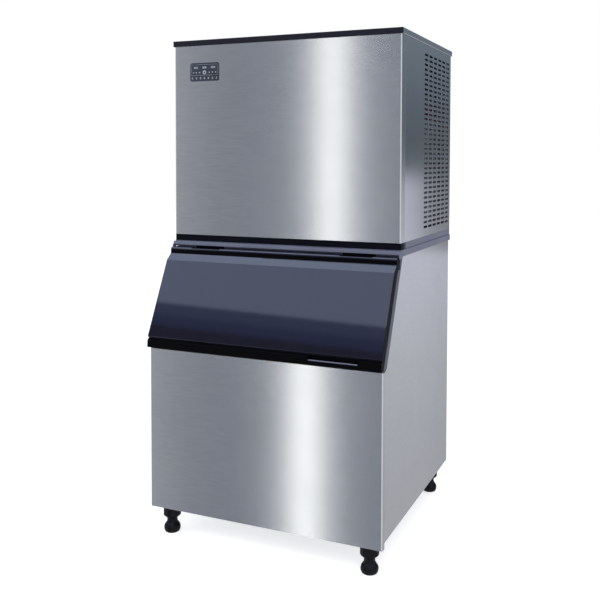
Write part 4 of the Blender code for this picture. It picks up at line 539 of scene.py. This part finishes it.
def front_tones(tree, parts):
    """What the fronts reflect: grey walls that pale to the left, by the angle left of ahead."""
    left = add(tree, "ShaderNodeMath", {"operation": "MULTIPLY"}, in_0=parts.outputs["X"],
               in_1=-1.0)
    ahead = add(tree, "ShaderNodeMath", {"operation": "MULTIPLY"}, in_0=parts.outputs["Y"],
                in_1=-1.0)
    angle = add(tree, "ShaderNodeMath", {"operation": "ARCTAN2"}, in_0=left.outputs[0],
                in_1=ahead.outputs[0])
    # The head stands back over the bin and mirrors the studio from a little further left.
    shift = add(tree, "ShaderNodeMapRange", Value=parts.outputs["Z"], From_Min=-0.20,
                From_Max=-0.12, To_Max=math.radians(HEAD_TURN))
    turned = add(tree, "ShaderNodeMath", {"operation": "ADD"}, in_0=angle.outputs[0],
                 in_1=shift.outputs["Result"])
    share = add(tree, "ShaderNodeMapRange", Value=turned.outputs[0], From_Min=0.0,
                From_Max=math.radians(60))
    return add(
        tree,
        "ShaderNodeValToRGB",
        stops=(
            (0.000, "#f2f5f8"),
            (0.120, "#a9adb7"),
            (0.300, "#8f95a1"),
            (0.400, "#8d939f"),
            (0.460, "#9aa0ac"),
            (0.500, "#757b88"),
            (0.550, "#686e7b"),
            (0.600, "#d5d6da"),
            (0.750, "#e6e8ec"),
        ),
        Fac=share.outputs["Result"],
    )


def side_tones(tree, parts):
    """What the right side reflects: a dark wall above, and the pale floor of the studio below."""
    turn = add(tree, "ShaderNodeMath", {"operation": "ARCTAN2"}, in_0=parts.outputs["X"],
               in_1=parts.outputs["Y"])
    low = add(tree, "ShaderNodeMapRange", Value=parts.outputs["Z"], From_Min=-0.45,
              From_Max=-0.05)
    pale = add(
        tree,
        "ShaderNodeValToRGB",
        stops=(
            (0.125, "#bebfc4"),
            (0.375, "#c5c7cd"),
            (0.525, "#cbced3"),
            (0.625, "#d1d3db"),
            (0.825, "#dbdce9"),
            (1.000, "#d8d9e7"),
        ),
        Fac=low.outputs["Result"],
    )
    high = add(tree, "ShaderNodeMapRange", Value=parts.outputs["Z"], From_Min=-0.10,
               From_Max=0.15)
    dark = add(
        tree,
        "ShaderNodeValToRGB",
        stops=(
            (0.00, "#8c8c91"),
            (0.40, "#6a7178"),
            (0.50, "#636971"),
            (0.65, "#67707b"),
            (1.00, "#7a8692"),
        ),
        Fac=high.outputs["Result"],
    )
    past_wall = add(tree, "ShaderNodeMapRange", {"interpolation_type": "SMOOTHSTEP"},
                    Value=turn.outputs[0], From_Min=math.radians(DARK_WALL_TURN - 0.2),
                    From_Max=math.radians(DARK_WALL_TURN + 0.2))
    under = add(tree, "ShaderNodeMapRange", {"interpolation_type": "SMOOTHSTEP"},
                Value=parts.outputs["Z"], From_Min=FLOOR_GLOW_TOP + 0.02,
                From_Max=FLOOR_GLOW_TOP - 0.02)
    far_under = add(tree, "ShaderNodeMapRange", {"interpolation_type": "SMOOTHSTEP"},
                    Value=parts.outputs["Z"], From_Min=FAR_FLOOR_GLOW[0],
                    From_Max=FAR_FLOOR_GLOW[1])
    corner = add(tree, "ShaderNodeMath", {"operation": "MULTIPLY"},
                 in_0=past_wall.outputs["Result"], in_1=under.outputs["Result"])
    share = add(tree, "ShaderNodeMath", {"operation": "MAXIMUM"}, in_0=corner.outputs[0],
                in_1=far_under.outputs["Result"])
    # The studio falls off towards its far wall.
    fade = add(tree, "ShaderNodeMapRange", Value=turn.outputs[0], From_Min=math.radians(14),
               From_Max=math.radians(16), To_Min=0.80, To_Max=1.0)
    dimmed = add(tree, "ShaderNodeVectorMath", {"operation": "SCALE"},
                 in_0=pale.outputs["Color"], Scale=fade.outputs["Result"])
    return add(tree, "ShaderNodeMix", {"data_type": "RGBA"}, Factor=share.outputs[0],
               in_6=dark.outputs["Color"], in_7=dimmed.outputs[0])


def rise_ahead(tree, parts):
    """How steeply a reflection looks up: its rise over its distance ahead, or so to the sides."""
    ahead = add(tree, "ShaderNodeMath", {"operation": "MULTIPLY"}, in_0=parts.outputs["Y"],
                in_1=-1.0)
    across = add(tree, "ShaderNodeMath", {"operation": "ABSOLUTE"}, in_0=parts.outputs["X"])
    half_across = add(tree, "ShaderNodeMath", {"operation": "MULTIPLY"}, in_0=across.outputs[0],
                      in_1=0.5)
    is_aside = add(tree, "ShaderNodeMath", {"operation": "LESS_THAN"}, in_0=ahead.outputs[0],
                   in_1=half_across.outputs[0])
    least = add(tree, "ShaderNodeMath", {"operation": "MULTIPLY_ADD"},
                in_0=is_aside.outputs[0], in_1=SIDE_DISTANCE - LEAST_DISTANCE,
                in_2=LEAST_DISTANCE)
    distance = add(tree, "ShaderNodeMath", {"operation": "MAXIMUM"}, in_0=ahead.outputs[0],
                   in_1=least.outputs[0])
    # The ceiling's near edge isn't quite square to the machine.
    tilted = add(tree, "ShaderNodeMath", {"operation": "MULTIPLY_ADD"}, in_0=parts.outputs["X"],
                 in_1=CEILING_TILT, in_2=parts.outputs["Z"])
    return add(tree, "ShaderNodeMath", {"operation": "DIVIDE"}, in_0=tilted.outputs[0],
               in_1=distance.outputs[0])


def studio_walls(tree, parts, up):
    """The walls, and over them the dark gap that the foot of the door's slope shows."""
    is_back = add(tree, "ShaderNodeMath", {"operation": "GREATER_THAN"}, in_0=parts.outputs["Y"],
                  in_1=0.0)
    walls = add(tree, "ShaderNodeMix", {"data_type": "RGBA"}, Factor=is_back.outputs[0],
                in_6=front_tones(tree, parts).outputs["Color"],
                in_7=side_tones(tree, parts).outputs[2])
    gap_span = add(tree, "ShaderNodeMapRange", Value=up.outputs[0], From_Min=GAP_SPAN[0],
                   From_Max=GAP_SPAN[1])
    gap_tone = add(tree, "ShaderNodeValToRGB",
                   stops=((0.02, "#696565"), (0.14, "#8090be"), (0.40, "#8a9aca"),
                          (0.60, "#a6b8e6")),
                   Fac=gap_span.outputs["Result"])
    to_gap = add(tree, "ShaderNodeMapRange", {"interpolation_type": "SMOOTHSTEP"},
                 Value=up.outputs[0], From_Min=WALLS_FADE[0], From_Max=WALLS_FADE[1])
    tones = add(tree, "ShaderNodeMix", {"data_type": "RGBA"}, Factor=to_gap.outputs["Result"],
                in_6=walls.outputs[2], in_7=gap_tone.outputs["Color"])
    return add(tree, "ShaderNodeBackground", Color=tones.outputs[2], Strength=1.0)


def studio_gloss(tree, parts):
    """What shines shows the walls, and the bright ceiling from its near edge on."""
    up = rise_ahead(tree, parts)
    brightness = add(tree, "ShaderNodeMapRange", Value=parts.outputs["Z"], From_Min=0.74,
                     From_Max=0.90, To_Min=2.14, To_Max=3.0)
    ceiling = add(tree, "ShaderNodeBackground", Color=linear("#ceddff"),
                  Strength=brightness.outputs["Result"])
    past_edge = add(tree, "ShaderNodeMapRange", {"interpolation_type": "SMOOTHSTEP"},
                    Value=up.outputs[0], From_Min=CEILING_RISE - 0.004,
                    From_Max=CEILING_RISE + 0.004)
    high = add(tree, "ShaderNodeMapRange", Value=parts.outputs["Z"], From_Min=0.40,
               From_Max=0.45)
    overhead = add(tree, "ShaderNodeMath", {"operation": "MULTIPLY"},
                   in_0=past_edge.outputs["Result"], in_1=high.outputs["Result"])
    return add(tree, "ShaderNodeMixShader", Fac=overhead.outputs[0],
               in_1=studio_walls(tree, parts, up).outputs[0], in_2=ceiling.outputs[0])


def studio_world():
    """White behind the machine, soft even light, and a studio's bands of tone in what shines."""
    world = bpy.data.worlds.new("studio")
    bpy.context.scene.world = world
    world.use_nodes = True
    tree = world.node_tree
    tree.nodes.clear()
    place = add(tree, "ShaderNodeTexCoord")
    parts = add(tree, "ShaderNodeSeparateXYZ", Vector=place.outputs["Generated"])
    soft = add(tree, "ShaderNodeBackground", Color=linear("#f4f6ff"), Strength=0.55)
    white = add(tree, "ShaderNodeBackground", Color=(1, 1, 1, 1), Strength=1.0)
    path = add(tree, "ShaderNodeLightPath")
    unseen = add(tree, "ShaderNodeMixShader", Fac=path.outputs["Is Glossy Ray"],
                 in_1=soft.outputs[0], in_2=studio_gloss(tree, parts).outputs[0])
    seen = add(tree, "ShaderNodeMixShader", Fac=path.outputs["Is Camera Ray"],
               in_1=unseen.outputs[0], in_2=white.outputs[0])
    add(tree, "ShaderNodeOutputWorld", Surface=seen.outputs[0])


def studio_floor():
    """A plain white floor that keeps the machine's faint shadow."""
    work = bmesh.new()
    bmesh.ops.create_grid(work, x_segments=1, y_segments=1, size=14)
    mesh = bpy.data.meshes.new("studio_floor")
    work.to_mesh(mesh)
    work.free()
    ground = bpy.data.objects.new("studio_floor", mesh)
    bpy.context.scene.collection.objects.link(ground)
    finish, tree = new_finish("painted_white_floor")
    matt = add(tree, "ShaderNodeBsdfDiffuse", Color=linear("#f2f2f2"))
    glow = add(tree, "ShaderNodeEmission", Color=(1, 1, 1, 1), Strength=0.62)
    lit = add(tree, "ShaderNodeAddShader", in_0=matt.outputs[0], in_1=glow.outputs[0])
    path = add(tree, "ShaderNodeLightPath")
    floor = add(tree, "ShaderNodeMixShader", Fac=path.outputs["Is Camera Ray"],
                in_1=matt.outputs[0], in_2=lit.outputs[0])
    add(tree, "ShaderNodeOutputMaterial", Surface=floor.outputs[0])
    paint(ground, finish)
    ground.visible_glossy = False


def lamp(name, place, target, size, power, glossy=False):
    """A rectangular soft lamp at a place, turned to a target."""
    light = bpy.data.lights.new(name, "AREA")
    light.shape = "RECTANGLE"
    light.size, light.size_y = size
    light.energy = power
    holder = bpy.data.objects.new(name, light)
    bpy.context.scene.collection.objects.link(holder)
    holder.location = place
    holder.rotation_euler = (Vector(target) - Vector(place)).to_track_quat("-Z", "Y").to_euler()
    holder.visible_glossy = glossy
    return holder


def lights():
    """A tall strip lamp that draws a bright band down both steel fronts, and two soft lamps."""
    strip = lamp("strip_lamp", (-0.338, -1.463, 0.2), (0.066, -0.213, 0.2), (0.11, 3.6), 3.2,
                 glossy=True)
    strip.data.color = (1.0, 0.98, 0.93)
    fronts = bpy.data.collections.new("steel_fronts")
    for name in NODES_OF[STEEL_FRONT]:
        fronts.objects.link(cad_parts[name])
    strip.light_linking.receiver_collection = fronts
    machine_middle = (0, 0, 0.8)
    lamp("key_lamp", (1.6, -3.2, 3.2), machine_middle, (2.4, 2.4), 75)
    lamp("fill_lamp", (-2.6, -1.6, 2.4), machine_middle, (2.0, 2.0), 28)


def camera():
    """The view that the machine is shown from."""
    view = bpy.data.cameras.new("camera")
    holder = bpy.data.objects.new("camera", view)
    bpy.context.scene.collection.objects.link(holder)
    holder.location = CAMERA_PLACE
    look = Matrix.Rotation(CAMERA_YAW, 4, "Z") @ Matrix.Rotation(
        math.pi / 2 + CAMERA_PITCH, 4, "X"
    )
    holder.rotation_euler = (look @ Matrix.Rotation(CAMERA_ROLL, 4, "Z")).to_euler()
    view.sensor_width = 36
    view.lens = CAMERA_LENS
    view.shift_x, view.shift_y = CAMERA_SHIFT
    view.clip_end = 60
    bpy.context.scene.camera = holder


dress_nodes()
display_marks()
rim_nose()
painted_hinge_shadows()
handle_highlight()
back_screws()
studio_world()
studio_floor()
lights()
camera()
bpy.context.scene.view_settings.view_transform = "Standard"
